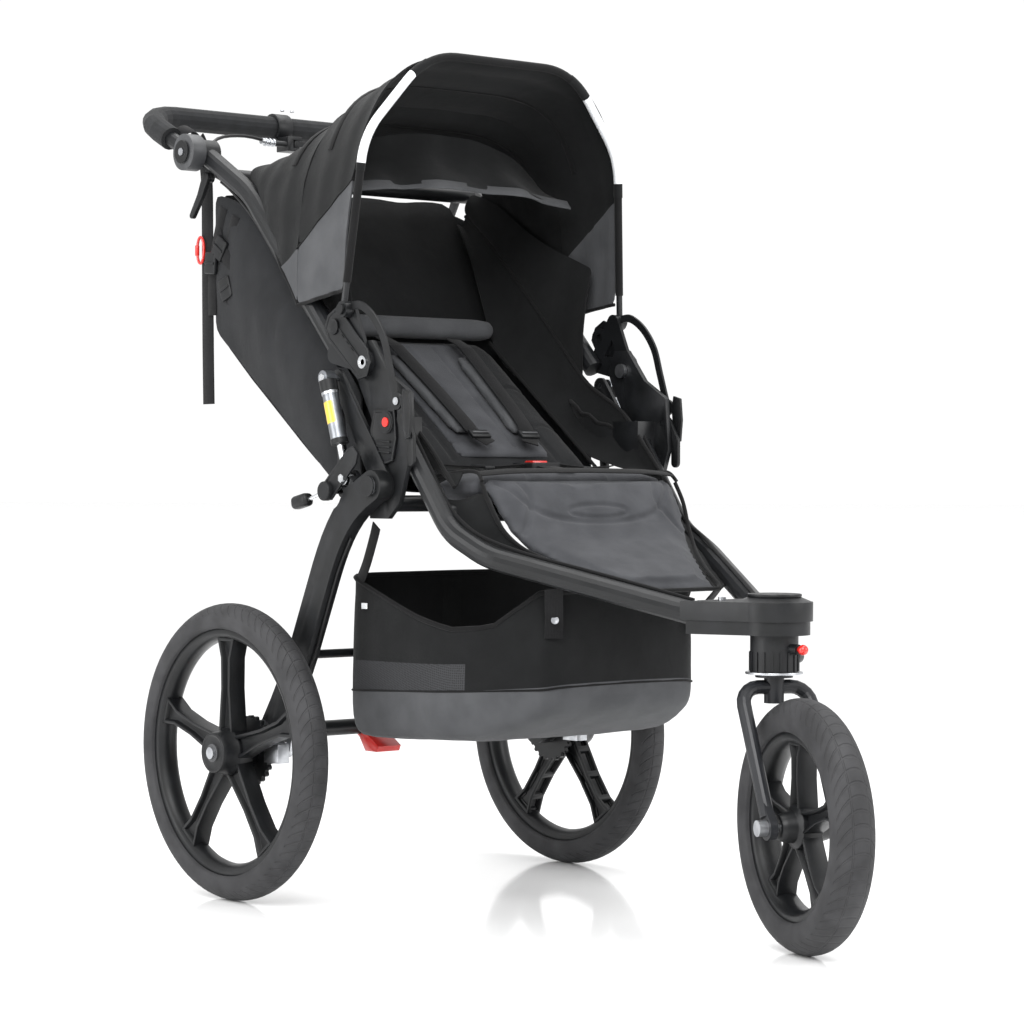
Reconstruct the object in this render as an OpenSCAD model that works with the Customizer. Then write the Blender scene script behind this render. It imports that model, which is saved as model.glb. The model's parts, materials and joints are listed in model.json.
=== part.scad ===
// Three-wheeled jogging stroller with a two-stage fold, sprung rear arms and a swivel front wheel.
// +Z is up, the front is towards -Y, and the origin is on the floor under the middle of the stroller.
// Side pieces are drawn on the left (+X) and mirrored for the right.

/* [Overall] */
// Distance between the middles of the rear tyres
track = 609; // [560:1:740]
// Distance from the origin back to the rear axle
axle_back = 310; // [260:1:372]
// Distance from the origin forward to the steering axis
steer_front = 423; // [380:1:500]
// Height of the middle of the handlebar grip
grip_height = 1106; // [1060:1:1200]
// Distance from the origin back to the middle of the grip
grip_back = 630; // [600:1:700]

/* [Wheels] */
// Rear tyre outside diameter
rear_tyre_d = 406; // [340:1:488]
// Rear tyre width
rear_tyre_w = 46; // [38:1:54]
// Front tyre outside diameter
front_tyre_d = 312; // [262:1:330]
// Front tyre width
front_tyre_w = 54; // [44:1:60]
// Number of spokes in each wheel
spokes = 5; // [3:1:8]
// Distance from the steering axis forward to the front axle
lead = 85; // [70:1:100]
// Turn of the front wheel about the steering axis, to the right as stored
steer_turn = 20; // [0:1:30]
// Rear hub barrel diameter
hub_d = 44; // [38:1:52]
// Rear axle diameter
axle_d = 12; // [10:1:14]
// Inboard brake ring diameter
brake_ring_d = 96; // [86:1:110]
// Number of slots in the brake ring
ring_slots = 24; // [12:2:36]

/* [Frame] */
// Lower frame tube diameter
main_d = 30; // [26:1:34]
// Upper frame tube diameter
upper_d = 28; // [24:1:30]
// Cross tube diameter under the seat
cross_d = 22; // [18:1:26]
// Handlebar tube diameter
bar_d = 22; // [19:1:25]
// Handlebar foam grip diameter
grip_d = 34; // [30:1:38]
// Canopy bow rod diameter
bow_d = 9; // [7:1:10]
// Height of the middle of the canopy bow
bow_top = 1150; // [1100:1:1190]
// Swing arm depth
arm_depth = 42; // [34:1:50]
// Swing arm thickness
arm_t = 20; // [16:1:24]
// Thickness of the side hinge plates
plate_t = 7.5; // [5:0.5:9]
// Head tube housing diameter
head_d = 60; // [52:1:66]
// Steering stem diameter
stem_d = 25; // [22:1:27]
// Fork leg diameter
fork_d = 18; // [15:1:20]
// Accessory socket bore diameter
socket_d = 14; // [10:1:16]

/* [Soft parts] */
// Seat cushion thickness
cushion_t = 42; // [30:1:50]
// Backrest length from its hinge
back_l = 330; // [280:1:360]
// Backrest thickness
back_t = 34; // [26:1:40]
// Half width of the backrest
back_half = 165; // [140:1:180]
// Half width of the basket at the rear
basket_half = 200; // [170:1:215]
// Fabric wall of the basket, sling and canopy
cloth_t = 4; // [3:0.5:6]

/* [Fits] */
// Radial clearance of a shaft in its bore
run_fit = 0.05; // [0.02:0.01:0.1]
// Gap kept between pieces that slide past each other
gap = 0.4; // [0.3:0.1:1]

/* [Hidden] */
$fn = 48;

// Side layers, from the seat outwards: lower tube, hinge plate, pivoting plates, swing arm, wheel
wheel_x = track / 2;
arm_x = wheel_x - rear_tyre_w / 2 - 31.5;
arm_in = arm_x - arm_t / 2;
pivot_plate_t = 5.4;
pivot_plate_x = arm_in - 0.6 - pivot_plate_t;
hinge_x = pivot_plate_x - 0.6 - plate_t;
main_x = hinge_x - 0.5 - main_d / 2;
upper_x = arm_in - 1.5 - upper_d / 2;
bow_x = arm_in + 8;

// Side points as [y, z]
fold_pin = [103, 731];
swing_pin = [62, 567];
canopy_pin = [134, 802];
socket_at = [164, 780];
shock_top = [161, 711];
shock_low = [118, 577];
crease = [80, 572];
release_pin = [22, 655];
stud_at = [150, 560];
button_at = [56, 651];
handle_pin = [grip_back - 134, grip_height - 66];
crossbar_at = handle_pin + [-66, -38];
latch_pin = handle_pin + [-12, -35];
axle_at = [axle_back, rear_tyre_d / 2];
steer_y = -steer_front;
axle_z = front_tyre_d / 2;
back_tilt = 38;
seat_half = main_x - main_d / 2 - 15;
front_bar = [-22, 532];
seat_floor = front_bar.y + cross_d / 2 + gap;
seat_rear_z = seat_floor + cushion_t - 6;
seat_front_z = seat_floor + cushion_t + 3;
buckle_z = seat_rear_z + 4.25 + gap;

// Lower frame tube: down from the hinge, a bend under the seat front, then in to the nose
main_path = [
  [main_x, 66, 650], [main_x - 5, -40, 508], [main_x - 14, -105, 476], [40, steer_y + 50, 400]
];
upper_path = [
  [upper_x, 163, 735], [upper_x, handle_pin.x - 114, handle_pin.y - 66], [upper_x, handle_pin.x, handle_pin.y]
];
grip_path = [
  [-arm_x, handle_pin.x, handle_pin.y], [-arm_x, grip_back, grip_height],
  [arm_x, grip_back, grip_height], [arm_x, handle_pin.x, handle_pin.y]
];
bow_path = [
  [bow_x, canopy_pin.x, canopy_pin.y + 9], [bow_x - 20, canopy_pin.x - 17, bow_top - 115],
  [130, canopy_pin.x - 29, bow_top], [-130, canopy_pin.x - 29, bow_top],
  [20 - bow_x, canopy_pin.x - 17, bow_top - 115], [-bow_x, canopy_pin.x, canopy_pin.y + 9]
];

function unit(v) = v / norm(v);
function cubic(a, b, c, d, t) =
  a * pow(1 - t, 3) + 3 * b * t * pow(1 - t, 2) + 3 * c * t * t * (1 - t) + d * pow(t, 3);
function arm_at(t) = cubic(swing_pin, [190, 510], [160, 395], axle_at, t);
function arm_normal(t) = let (u = unit(arm_at(t + 0.01) - arm_at(t - 0.01))) [-u.y, u.x];
function spline(p, i, t) = let (
    n = len(p) - 1, a = p[max(i - 1, 0)], b = p[i], c = p[i + 1], d = p[min(i + 2, n)]
  ) 0.5 * (2 * b + (c - a) * t + (2 * a - 5 * b + 4 * c - d) * t * t + (3 * b - a - 3 * c + d) * t * t * t);
function route(p, steps) = [
  for (i = [0 : len(p) - 2], k = [0 : steps - 1]) spline(p, i, k / steps), p[len(p) - 1]
];
function side_at(p, x) = [x, p.x, p.y];

module both() {
  children();
  mirror([1, 0, 0]) children();
}

module bar_between(p, q, d) {
  u = q - p;
  translate(p) rotate([0, acos(u.z / norm(u)), atan2(u.y, u.x)]) cylinder(h = norm(u), d = d);
}

// Stations [place, direction] of a bar that runs straight and turns each corner on an arc
function corner_arc(a, b, c, bend, steps) = let (
    along = unit(b - a), next = unit(c - b), turn = acos(along * next),
    inward = unit(next - along * (along * next)), mid = b - along * bend * tan(turn / 2) + inward * bend
  ) [for (k = [0 : steps]) let (t = turn * k / steps)
    [mid + bend * (along * sin(t) - inward * cos(t)), along * cos(t) + inward * sin(t)]];
function stations(p, bend, steps, over) = let (n = len(p) - 1, u = unit(p[1] - p[0]), v = unit(p[n] - p[n - 1]))
  concat(
    [[p[0] - u * over, u]],
    [for (i = [1 : n - 1]) each corner_arc(p[i - 1], p[i], p[i + 1], bend, steps)],
    [[p[n] + v * over, v]]
  );

// Closed round sweep over stations, with its section carried along without twist
module sweep(st, d, sides) {
  n = len(st) - 1;
  side_dirs = [
    for (i = 0, a = unit(cross(st[0][1], [0.31, 0.2, 0.93])); i <= n;
      i = i + 1, a = i > n ? a : unit(a - st[i][1] * (a * st[i][1]))) a
  ];
  rings = [for (i = [0 : n]) let (a = side_dirs[i], b = cross(st[i][1], a))
    for (k = [0 : sides - 1]) st[i][0] + d / 2 * (a * cos(360 * k / sides) + b * sin(360 * k / sides))];
  walls = [for (i = [0 : n - 1], k = [0 : sides - 1]) let (j = (k + 1) % sides)
    [(i + 1) * sides + k, (i + 1) * sides + j, i * sides + j, i * sides + k]];
  polyhedron(rings, concat(
    walls, [[for (k = [0 : sides - 1]) k]], [[for (k = [sides - 1 : -1 : 0]) n * sides + k]]
  ));
}

module bent_bar(pts, d, bend, inner = 0, sides = 16) {
  difference() {
    sweep(stations(pts, bend, 5, 0), d, sides);
    if (inner > 0) sweep(stations(pts, bend, 5, 1), inner, sides);
  }
}

// Cylinder along X between two x values, at a side point
module rod_x(x0, x1, at, d) {
  translate([x0, at.x, at.y]) rotate([0, 90, 0]) cylinder(h = x1 - x0, d = d);
}

// Side outline given as [y, z] points, drawn between two x values
module plate_x(x0, x1) {
  translate([x0, 0, 0]) rotate([90, 0, 90]) linear_extrude(x1 - x0) children();
}

// Bar outline with round ends of two diameters
module link(p, q, d1, d2) {
  n = let (u = unit(q - p)) [-u.y, u.x];
  translate(p) circle(d = d1);
  translate(q) circle(d = d2);
  polygon([p + n * d1 / 2, p - n * d1 / 2, q - n * d2 / 2, q + n * d2 / 2]);
}

// Thin cable swept along a smooth route
module cable(pts, d, steps = 4) {
  p = route(pts, steps);
  n = len(p) - 1;
  sweep([for (i = [0 : n]) [p[i], unit(p[min(i + 1, n)] - p[max(i - 1, 0)])]], d, 8);
}

/* Lower frame */
module main_tube() {
  color("#26272a") bent_bar(main_path, main_d, 90);
}

module nose_shape(grow) {
  translate([0, steer_y]) circle(d = head_d + 36 + 2 * grow);
  polygon([
    [-48 - grow, steer_y], [48 + grow, steer_y], [82 + grow, steer_y + 84 + grow], [-82 - grow, steer_y + 84 + grow]
  ]);
}

module nose_casting() {
  color("#2b2c2e") difference() {
    union() {
      translate([0, steer_y, 339]) cylinder(h = 46, d = head_d);
      translate([0, 0, 385]) linear_extrude(26) intersection() {
        nose_shape(-3.4);
        translate([-90, steer_y - 60]) square([180, 138]);
      }
      rotate_ribs();
      translate([0, steer_y - head_d / 2 + 6, 368]) rotate([90, 0, 0]) cylinder(h = 18, d = 13);
      rod_x(head_d / 2 - 6, head_d / 2 + 6, [steer_y, 357], 14);
    }
    translate([0, steer_y, 338]) cylinder(h = 60, d = stem_d + 9);
    for (s = [-1, 1])
      bar_between([s * 40, steer_y + 50, 400], [s * (main_x - 14), -105, 476], main_d + 0.1);
    translate([0, steer_y - stem_d / 2 - 8, 368]) rotate([90, 0, 0]) cylinder(h = 40, d = 6 + 2 * run_fit);
    rod_x(head_d / 2 - 8, head_d / 2 + 7, [steer_y, 357], 5 + 2 * run_fit);
  }
}

module rotate_ribs() {
  for (a = [0 : 20 : 340]) translate([0, steer_y, 340]) rotate([0, 0, a])
    translate([head_d / 2 - 1, -1.2, 0]) cube([2.5, 2.4, 24]);
}

module nose_cover() {
  color("#303134") difference() {
    union() {
      translate([0, 0, 402]) linear_extrude(24) nose_shape(0);
      translate([0, steer_y, 426]) cylinder(h = 7, d1 = head_d + 34, d2 = head_d);
    }
    translate([0, 0, 401]) linear_extrude(22) nose_shape(-3);
    for (s = [-1, 1])
      bar_between([s * 40, steer_y + 50, 400], [s * (main_x - 14), -105, 476], main_d + 6);
  }
}

// Fold bolts, swing pins and nose screws
module frame_screws() {
  color("#c9cacc") {
    both() {
      rod_x(hinge_x - 4, arm_in - 0.2, fold_pin, 12);
      rod_x(hinge_x - 6, hinge_x - 0.2, fold_pin, 20);
      rod_x(hinge_x - 4, arm_x + arm_t / 2 + 3, swing_pin, 14);
      rod_x(arm_x + arm_t / 2 + 0.5, arm_x + arm_t / 2 + 4, swing_pin, 24);
    }
    for (s = [-1, 1]) translate([s * 30, steer_y + 62, 426.2]) cylinder(h = 4, d = 10);
  }
}

module head_bushes() {
  color("#b59a5a") for (z = [339.5, 383]) translate([0, steer_y, z]) difference() {
    cylinder(h = 14, d = stem_d + 9 - 2 * run_fit);
    translate([0, 0, -1]) cylinder(h = 16, d = stem_d + 2 * run_fit);
  }
}

module hinge_plate() {
  color("#2d2e30") difference() {
    union() {
      plate_x(hinge_x, hinge_x + plate_t) polygon([
        [14, 690], [8, 618], [34, 545], [58, 524], [96, 524], [104, 556], [98, 604], [90, 650], [122, 704],
        [134, 730], [120, 760], [94, 760], [58, 716]
      ]);
      translate([hinge_x - 32, 36, 612]) cube([32.2, 52, 46]);
      rod_x(hinge_x + plate_t - 0.2, arm_in - 0.6, button_at, 30);
    }
    bar_between(main_path[0] * 1.01 - main_path[1] * 0.01, main_path[1], main_d + 0.1);
    rod_x(hinge_x - 1, arm_in, fold_pin, 12 + 2 * run_fit);
    rod_x(hinge_x - 1, arm_in, swing_pin, 14 + 2 * run_fit);
    rod_x(hinge_x - 1, arm_in, release_pin, 8 + 2 * run_fit);
    rod_x(hinge_x + 1, arm_in, button_at, 13.4);
    rod_x(hinge_x + 3, arm_in, [62, 612], 16);
  }
}

module seat_crossbars() {
  color("#26272a") {
    rod_x(-hinge_x + 0.2, hinge_x - 0.2, [crease.x, crease.y - back_t / 2 - cross_d / 2 - 0.3], cross_d);
    difference() {
      rod_x(-main_x, main_x, front_bar, cross_d);
      for (s = [-1, 1])
        bar_between([s * main_x, 66, 650], [s * (main_x - 5), -40, 508], main_d + 0.1);
    }
  }
}

module seat_cushion() {
  color("#4a4b4e") plate_x(-seat_half, seat_half)
    polygon([[-50, seat_floor], [60, seat_floor], [60, seat_rear_z], [-50, seat_front_z]]);
}

module footrest_pad() {
  color("#4a4b4e") intersection() {
    plate_x(-seat_half, seat_half) polygon([
      [-50.5, seat_front_z], [-62, seat_front_z - 10], [-108, 484], [-238, 438], [-234, 424], [-98, 470], [-50.5, 556]
    ]);
    linear_extrude(700) polygon([
      [-seat_half + 4, 0], [seat_half - 4, 0], [main_x - 38, -112], [94, -240], [-94, -240], [38 - main_x, -112]
    ]);
  }
}

module basket_body(wall) {
  w = basket_half - wall;
  intersection() {
    plate_x(-w, w) polygon([
      [-150 + wall, 272 + wall], [-60, 234 + wall], [184 - wall, 220 + wall], [194 - wall, 446 + wall],
      [60, 405 + wall], [-60, 386 + wall], [-150 + wall, 380 + wall]
    ]);
    linear_extrude(600) polygon([
      [w, 200], [w, 0], [122 - wall, -151], [wall - 122, -151], [-w, 0], [-w, 200]
    ]);
  }
}

module basket() {
  strap_low = [118, -146, 374];
  strap_top = main_path[2] * 0.71 + main_path[3] * 0.29;
  color("#232325") {
    difference() {
      basket_body(0);
      basket_body(cloth_t);
    }
    both() {
      bar_between(strap_low, strap_top - unit(strap_top - strap_low) * (main_d / 2 + gap), 8);
      bar_between([basket_half - 6, 150, 430], [hinge_x - 5, 96, 520], 8);
    }
  }
}

module harness_buckle() {
  color("#1b1b1c") difference() {
    translate([-25, 8, buckle_z]) cube([50, 44, 15]);
    translate([-13.5, 20.5, buckle_z + 4]) cube([27, 19, 20]);
  }
}

module buckle_button() {
  color("#d0261c") translate([-13, 21, buckle_z + 8]) cube([26, 18, 9.5]);
}

module safety_button() {
  color("#d62a22") rod_x(hinge_x + 4, arm_in + 0.5, button_at, 12.6);
}

// Release lever with a press pad, turning on its own pin
module release_lever() {
  color("#2a2b2d") {
    rod_x(hinge_x + 1, pivot_plate_x + 1, release_pin, 8);
    plate_x(pivot_plate_x, arm_in - 0.4) {
      link(release_pin, release_pin + [-18, -25], 20, 14);
      link(release_pin + [-18, -25], release_pin + [-18, -55], 14, 14);
    }
  }
}

module swivel_pin() {
  start = steer_y - stem_d / 2 - 9;
  color("#c92019") {
    translate([0, start, 368]) rotate([90, 0, 0]) cylinder(h = 24, d = 6);
    translate([0, start - 28, 368]) sphere(d = 13);
  }
}

module tracking_knob() {
  color("#77797c") {
    rod_x(head_d / 2 - 6, head_d / 2 + 8, [steer_y, 357], 5);
    rod_x(head_d / 2 + 6 + gap, head_d / 2 + 15, [steer_y, 357], 18);
  }
}

/* Upper frame */
module upper_tube() {
  color("#26272a") difference() {
    union() {
      bent_bar(upper_path, upper_d, 160);
      plate_x(pivot_plate_x, arm_in - 0.6) {
        translate(fold_pin) circle(d = 34);
        link(fold_pin, [170, 744], 30, 26);
        link(fold_pin, canopy_pin, 24, 22);
        link([170, 744], canopy_pin, 26, 22);
        translate(socket_at) circle(d = 28);
      }
      rod_x(upper_x - 14, arm_in - 1.4, handle_pin, 40);
      plate_x(upper_x - 4, upper_x + 2) link(latch_pin + [2, 12], latch_pin, 14, 14);
    }
    rod_x(pivot_plate_x - 2, arm_in, fold_pin, 12 + 2 * run_fit);
    rod_x(pivot_plate_x - 20, arm_in + 1, canopy_pin, 8 + 2 * run_fit);
    rod_x(pivot_plate_x - 22, arm_in + 1, socket_at, socket_d);
    rod_x(upper_x - 20, arm_in + 1, handle_pin, 12 + 2 * run_fit);
    rod_x(upper_x - 20, arm_in + 1, latch_pin, 6 + 2 * run_fit);
  }
}

module upper_crossbar() {
  color("#26272a") difference() {
    rod_x(-upper_x, upper_x, crossbar_at, cross_d);
    for (s = [-1, 1]) bar_between(
      [s * upper_x, handle_pin.x - 114, handle_pin.y - 66], [s * upper_x, handle_pin.x, handle_pin.y],
      upper_d + 0.1);
  }
}

// Fabric tub behind the backrest: two sides, a bottom and a back
module seat_sling() {
  half = upper_x - upper_d / 2 - 3;
  top = crossbar_at.y - cross_d / 2 - gap;
  tub = [[196, 561], [495, 788], [495, top], [crossbar_at.x, top], [385, 930], [200, 745], [150, 690]];
  color("#333436") {
    for (s = [0, 1]) mirror([s, 0, 0]) plate_x(half - cloth_t, half) polygon(tub);
    plate_x(-half + 0.1, half - 0.1) polygon([
      [196, 561], [495, 788], [495, top], [495 - cloth_t, top], [495 - cloth_t, 790], [194, 565]
    ]);
  }
}

module brake_cable_frame() {
  color("#161617") cable([
    [-upper_x, 455, 997], [-upper_x, 425, 979], [-upper_x, 372, 937], [-upper_x, 311, 871], [-upper_x, 243, 797]
  ], 5);
}

/* Handlebar */
module handlebar_tube() {
  color("#26272a") bent_bar(grip_path, bar_d, 62);
}

module handlebar_grip() {
  from = grip_path[0] + (grip_path[1] - grip_path[0]) * 0.36;
  color("#353638") bent_bar([
    from, grip_path[1], grip_path[2], [-from.x, from.y, from.z]
  ], grip_d, 62, bar_d + 0.2);
}

module handle_pivots() {
  color("#55575a") both() {
    difference() {
      union() {
        rod_x(arm_in - 0.5, arm_x + 12, handle_pin, 52);
        rod_x(upper_x - 12, arm_in + 2, handle_pin, 12);
      }
      bar_between(grip_path[3], grip_path[2], bar_d + 0.1);
    }
    rod_x(arm_x + 12 - 0.1, arm_x + 15, handle_pin, 20);
  }
}

// Squeeze latch under each pivot housing
module handle_latches() {
  color("#2a2b2d") both() {
    rod_x(upper_x - 5, upper_x + 3, latch_pin, 6);
    plate_x(upper_x + 2.4, upper_x + 9) {
      link(latch_pin, latch_pin + [14, -26], 15, 12);
      link(latch_pin + [14, -26], latch_pin + [34, -52], 12, 9);
    }
  }
}

module brake_lever_mount() {
  color("#a8aaad") difference() {
    union() {
      rod_x(-13, 13, [grip_back, grip_height], grip_d + 9);
      translate([-13, grip_back - 44, grip_height - 38]) cube([26, 30, 22]);
      bar_between([-12, grip_back - 37, grip_height - 28], [-34, grip_back - 37, grip_height - 28], 9);
    }
    rod_x(-14, 14, [grip_back, grip_height], grip_d + 0.2);
    translate([-3, grip_back - 50, grip_height - 33]) cube([30, 40, 12]);
  }
}

module brake_lever() {
  color("#1c1c1d") translate([6, grip_back - 37, grip_height - 32]) {
    translate([0, 0, -0.6]) cylinder(h = 11.2, d = 12);
    translate([0, 0, 1]) linear_extrude(8) {
      link([0, 0], [44, -8], 11, 8);
      link([44, -8], [98, -2], 8, 8);
      translate([98, -2]) circle(d = 12);
    }
  }
}

module brake_cable_handle() {
  y = grip_back - 37;
  z = grip_height - 28;
  color("#161617") cable([
    [-34.5, y, z], [-90, y - 4, z + 6], [-150, y - 20, z - 4], [-188, y - 48, z - 34], [-202, y - 78, z - 60],
    [-204, y - 108, z - 74]
  ], 5);
}

/* Canopy */
module canopy_clips() {
  color("#3a3b3e") both() {
    rod_x(pivot_plate_x + 0.2, bow_x + 8, canopy_pin, 8);
    rod_x(arm_in - 0.2, bow_x - 4.8, canopy_pin, 22);
    rod_x(bow_x + 5, bow_x + 9, canopy_pin, 14);
  }
}

module canopy_bow() {
  color("#1d1d1e") {
    bent_bar(bow_path, bow_d, 110, sides = 12);
    both() difference() {
      rod_x(bow_x - 4.6, bow_x + 4.8, canopy_pin, 22);
      rod_x(bow_x - 6, bow_x + 6, canopy_pin, 8 + 2 * run_fit);
    }
  }
}

// Canopy sheet as arched sections from the bow back to the crossbar: [y, edge z, top z, half width]
canopy_sections = [
  [139, 846, bow_top, bow_x - 4], [205, 864, bow_top - 26, bow_x - 6], [290, 908, bow_top - 76, bow_x - 10],
  [360, 982, bow_top - 112, bow_x - 22], [400, 1006, bow_top - 128, bow_x - 36]
];
function arch_at(s, a, wall) = let (
    c = cos(a), h = s[2] - s[1], lean = s.x == canopy_sections[0].x ? 27 : 0,
    x = (s[3] - wall) * sign(c) * pow(abs(c), 0.5), z = s[1] + (h - wall) * pow(sin(a), 0.7)
  ) [x, s.x - lean * (z - s[1]) / h, z];

module canopy_cover() {
  n = 16;
  rows = len(canopy_sections);
  grid = [for (wall = [0, cloth_t], s = canopy_sections, k = [0 : n]) arch_at(s, 180 * k / n, wall)];
  m = n + 1;
  skin = rows * m;
  outer = [for (i = [0 : rows - 2], k = [0 : n - 1])
    [i * m + k, i * m + k + 1, (i + 1) * m + k + 1, (i + 1) * m + k]];
  inner = [for (f = outer) [for (q = [3 : -1 : 0]) f[q] + skin]];
  front = [for (k = [0 : n - 1]) [k + 1, k, k + skin, k + 1 + skin]];
  rear = [for (k = [0 : n - 1]) let (b = (rows - 1) * m) [b + k, b + k + 1, b + k + 1 + skin, b + k + skin]];
  left = [for (i = [0 : rows - 2]) [i * m, (i + 1) * m, (i + 1) * m + skin, i * m + skin]];
  right = [for (i = [0 : rows - 2]) [(i + 1) * m + n, i * m + n, i * m + n + skin, (i + 1) * m + n + skin]];
  color("#2c2d2f") polyhedron(grid, concat(outer, inner, front, rear, left, right));
}

/* Backrest */
module on_back() {
  translate([0, crease.x, crease.y]) rotate([back_tilt, 0, 0]) children();
}

module backrest_pad() {
  color("#4a4b4e") {
    rod_x(-back_half, back_half, crease, back_t);
    on_back() translate([-back_half, 0, -back_t / 2]) cube([2 * back_half, back_l, back_t]);
    on_back() rod_x(-back_half, back_half, [back_l - 5, back_t / 2 + 10], 36);
  }
}

module shoulder_pads() {
  color("#5c5d60") on_back() both()
    translate([32, 62, back_t / 2 + 0.3]) cube([48, 190, 14]);
}

/* Rear frame */
module carrier_plates() {
  color("#2d2e30") both() difference() {
    plate_x(pivot_plate_x, arm_in - 0.6) {
      link(swing_pin, shock_top, 38, 24);
      link(swing_pin, stud_at, 34, 18);
      link(stud_at, shock_top, 14, 14);
    }
    rod_x(pivot_plate_x - 1, arm_in, swing_pin, 14 + 2 * run_fit);
    rod_x(pivot_plate_x - 1, arm_in, shock_top, 8 + 2 * run_fit);
  }
}

shock_dir = unit([0, shock_low.x - shock_top.x, shock_low.y - shock_top.y]);
shock_x = arm_x + 6;

module shock_cylinders() {
  top = side_at(shock_top, shock_x);
  color("#8d8f92") both() {
    rod_x(pivot_plate_x + 0.4, shock_x + 8, shock_top, 8);
    rod_x(shock_x - 8, shock_x + 8, shock_top, 20);
    difference() {
      bar_between(top + shock_dir * 6, top + shock_dir * 92, 22);
      bar_between(top + shock_dir * 20, top + shock_dir * 94, 9 + 2 * run_fit);
    }
  }
}

// Chrome rod and its eye: the lower pin passes the eye with the loose fit of an opened link
module shock_rods() {
  top = side_at(shock_top, shock_x);
  low = side_at(shock_low, shock_x);
  color("#d8d9db") both() difference() {
    union() {
      bar_between(top + shock_dir * 44, low - shock_dir * 6, 9);
      rod_x(shock_x - 6, shock_x + 6, shock_low, 18);
    }
    rod_x(shock_x - 7, shock_x + 7, shock_low, 8.8);
  }
}

module shock_knobs() {
  color("#2a2b2d") both() {
    rod_x(arm_in - 0.6, arm_in + arm_t + 0.8, stud_at, 8);
    rod_x(arm_in + arm_t + 0.6, arm_in + arm_t + 12, stud_at, 26);
  }
}

module swingarm() {
  steps = 18;
  ts = [for (i = [0 : steps]) i / steps];
  color("#2a2b2d") {
    difference() {
      plate_x(arm_in, arm_in + arm_t) {
        polygon(concat(
          [for (t = ts) arm_at(t) + arm_normal(t) * arm_depth / 2],
          [for (i = [steps : -1 : 0]) arm_at(ts[i]) - arm_normal(ts[i]) * arm_depth / 2]
        ));
        translate(swing_pin) circle(d = arm_depth);
        translate(axle_at) circle(d = arm_depth);
        link([95, 545], shock_low, 30, 22);
      }
      rod_x(arm_in - 1, arm_in + arm_t + 1, swing_pin, 14 + 2 * run_fit);
      rod_x(arm_in - 1, arm_in + arm_t + 1, axle_at, axle_d + 2 * run_fit);
      rod_x(arm_in - 1, arm_in + arm_t + 1, stud_at, 50);
      rod_x(shock_x - 9, arm_in + arm_t + 1, shock_low, 24);
    }
    rod_x(shock_x - 9.4, shock_x + 7, shock_low, 8);
  }
}

module axle_crossbars() {
  color("#26272a") {
    rod_x(-arm_in, arm_in, arm_at(0.74), 12);
    rod_x(-arm_in, arm_in, arm_at(0.955), cross_d);
  }
}

module rear_axles() {
  color("#b9bbbe") both() {
    rod_x(arm_in - 3, wheel_x + 22, axle_at, axle_d);
    rod_x(arm_in - 8, arm_in - 0.1, axle_at, 22);
  }
}

ring_x = wheel_x - 36;
module brake_calipers() {
  at = axle_at + [-brake_ring_d / 2, 0];
  outer_x = arm_x + arm_t / 2;
  color("#a8aaad") both() {
    plate_x(outer_x, outer_x + 1.8) {
      link(at + [-14, 2], axle_at + [-10, 34], 20, 16);
    }
    translate([outer_x + 1.6, at.x - 24, at.y - 13]) cube([ring_x - outer_x - 2.2, 32, 26]);
    translate([ring_x + 8.6, at.x - 24, at.y - 13]) cube([3.6, 32, 26]);
    translate([outer_x + 1.6, at.x - 24, at.y - 13]) cube([ring_x + 12 - outer_x - 1.6, 20, 26]);
  }
}

caliper_pin = axle_at + [-brake_ring_d / 2 - 16, 0];
module caliper_arms() {
  x0 = arm_x + arm_t / 2 - 5;
  color("#c4c6c8") both() {
    plate_x(x0, x0 + 4.6) link(caliper_pin, caliper_pin + [-8, 34], 12, 9);
  }
}

module brake_cable_axle() {
  color("#161617") both() cable([
    [arm_x, 115.4, 498.4], [arm_x, 140.7, 458.7], [arm_x, 156.5, 425.9], [arm_x, 177.1, 379.9],
    [arm_x, 205.2, 322], [arm_x + 3, 228, 276], side_at(caliper_pin + [-8.3, 41.2], arm_x + 7)
  ], 4, 3);
}

pedal_x = -82;
module parking_pedal() {
  at = arm_at(0.955);
  color("#c9221b") difference() {
    union() {
      rod_x(pedal_x - 16, pedal_x + 16, at, cross_d + 10);
      plate_x(pedal_x - 20, pedal_x + 20) polygon([
        at + [-10, -6], at + [-44, -26], at + [-40, -34], at + [-14, -34], at + [2, -12]
      ]);
    }
    rod_x(pedal_x - 30, pedal_x + 30, at, cross_d + 2 * run_fit);
  }
}

/* Wheels, drawn about the X axis at the origin */
module tyre(d, w) {
  color("#1c1c1d") rotate([0, 90, 0]) rotate_extrude($fn = 96) translate([d / 2 - w / 2, 0])
    difference() {
      circle(d = w, $fn = 40);
      translate([-w, -w]) square([w - w / 4, 2 * w]);
      circle(d = w - 10, $fn = 40);
    }
}

module wheel(d, w, hub, bore, hub_in, hub_out) {
  rim_r = d / 2 - w * 0.75 - 0.3;
  color("#242528") difference() {
    union() {
      rotate([0, 90, 0]) rotate_extrude($fn = 96) translate([rim_r - 16, -w * 0.36]) square([16, w * 0.72]);
      rod_x(-hub_in, hub_out, [0, 0], hub);
      plate_x(-w * 0.28, w * 0.28) for (a = [0 : 360 / spokes : 359]) rotate(a)
        polygon([[0, 0], [hub * 0.3, hub / 2 - 6], [9, rim_r - 12], [-9, rim_r - 12], [-hub * 0.3, hub / 2 - 6]]);
    }
    rod_x(-hub_in - 1, hub_out + 1, [0, 0], bore);
  }
}

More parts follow.
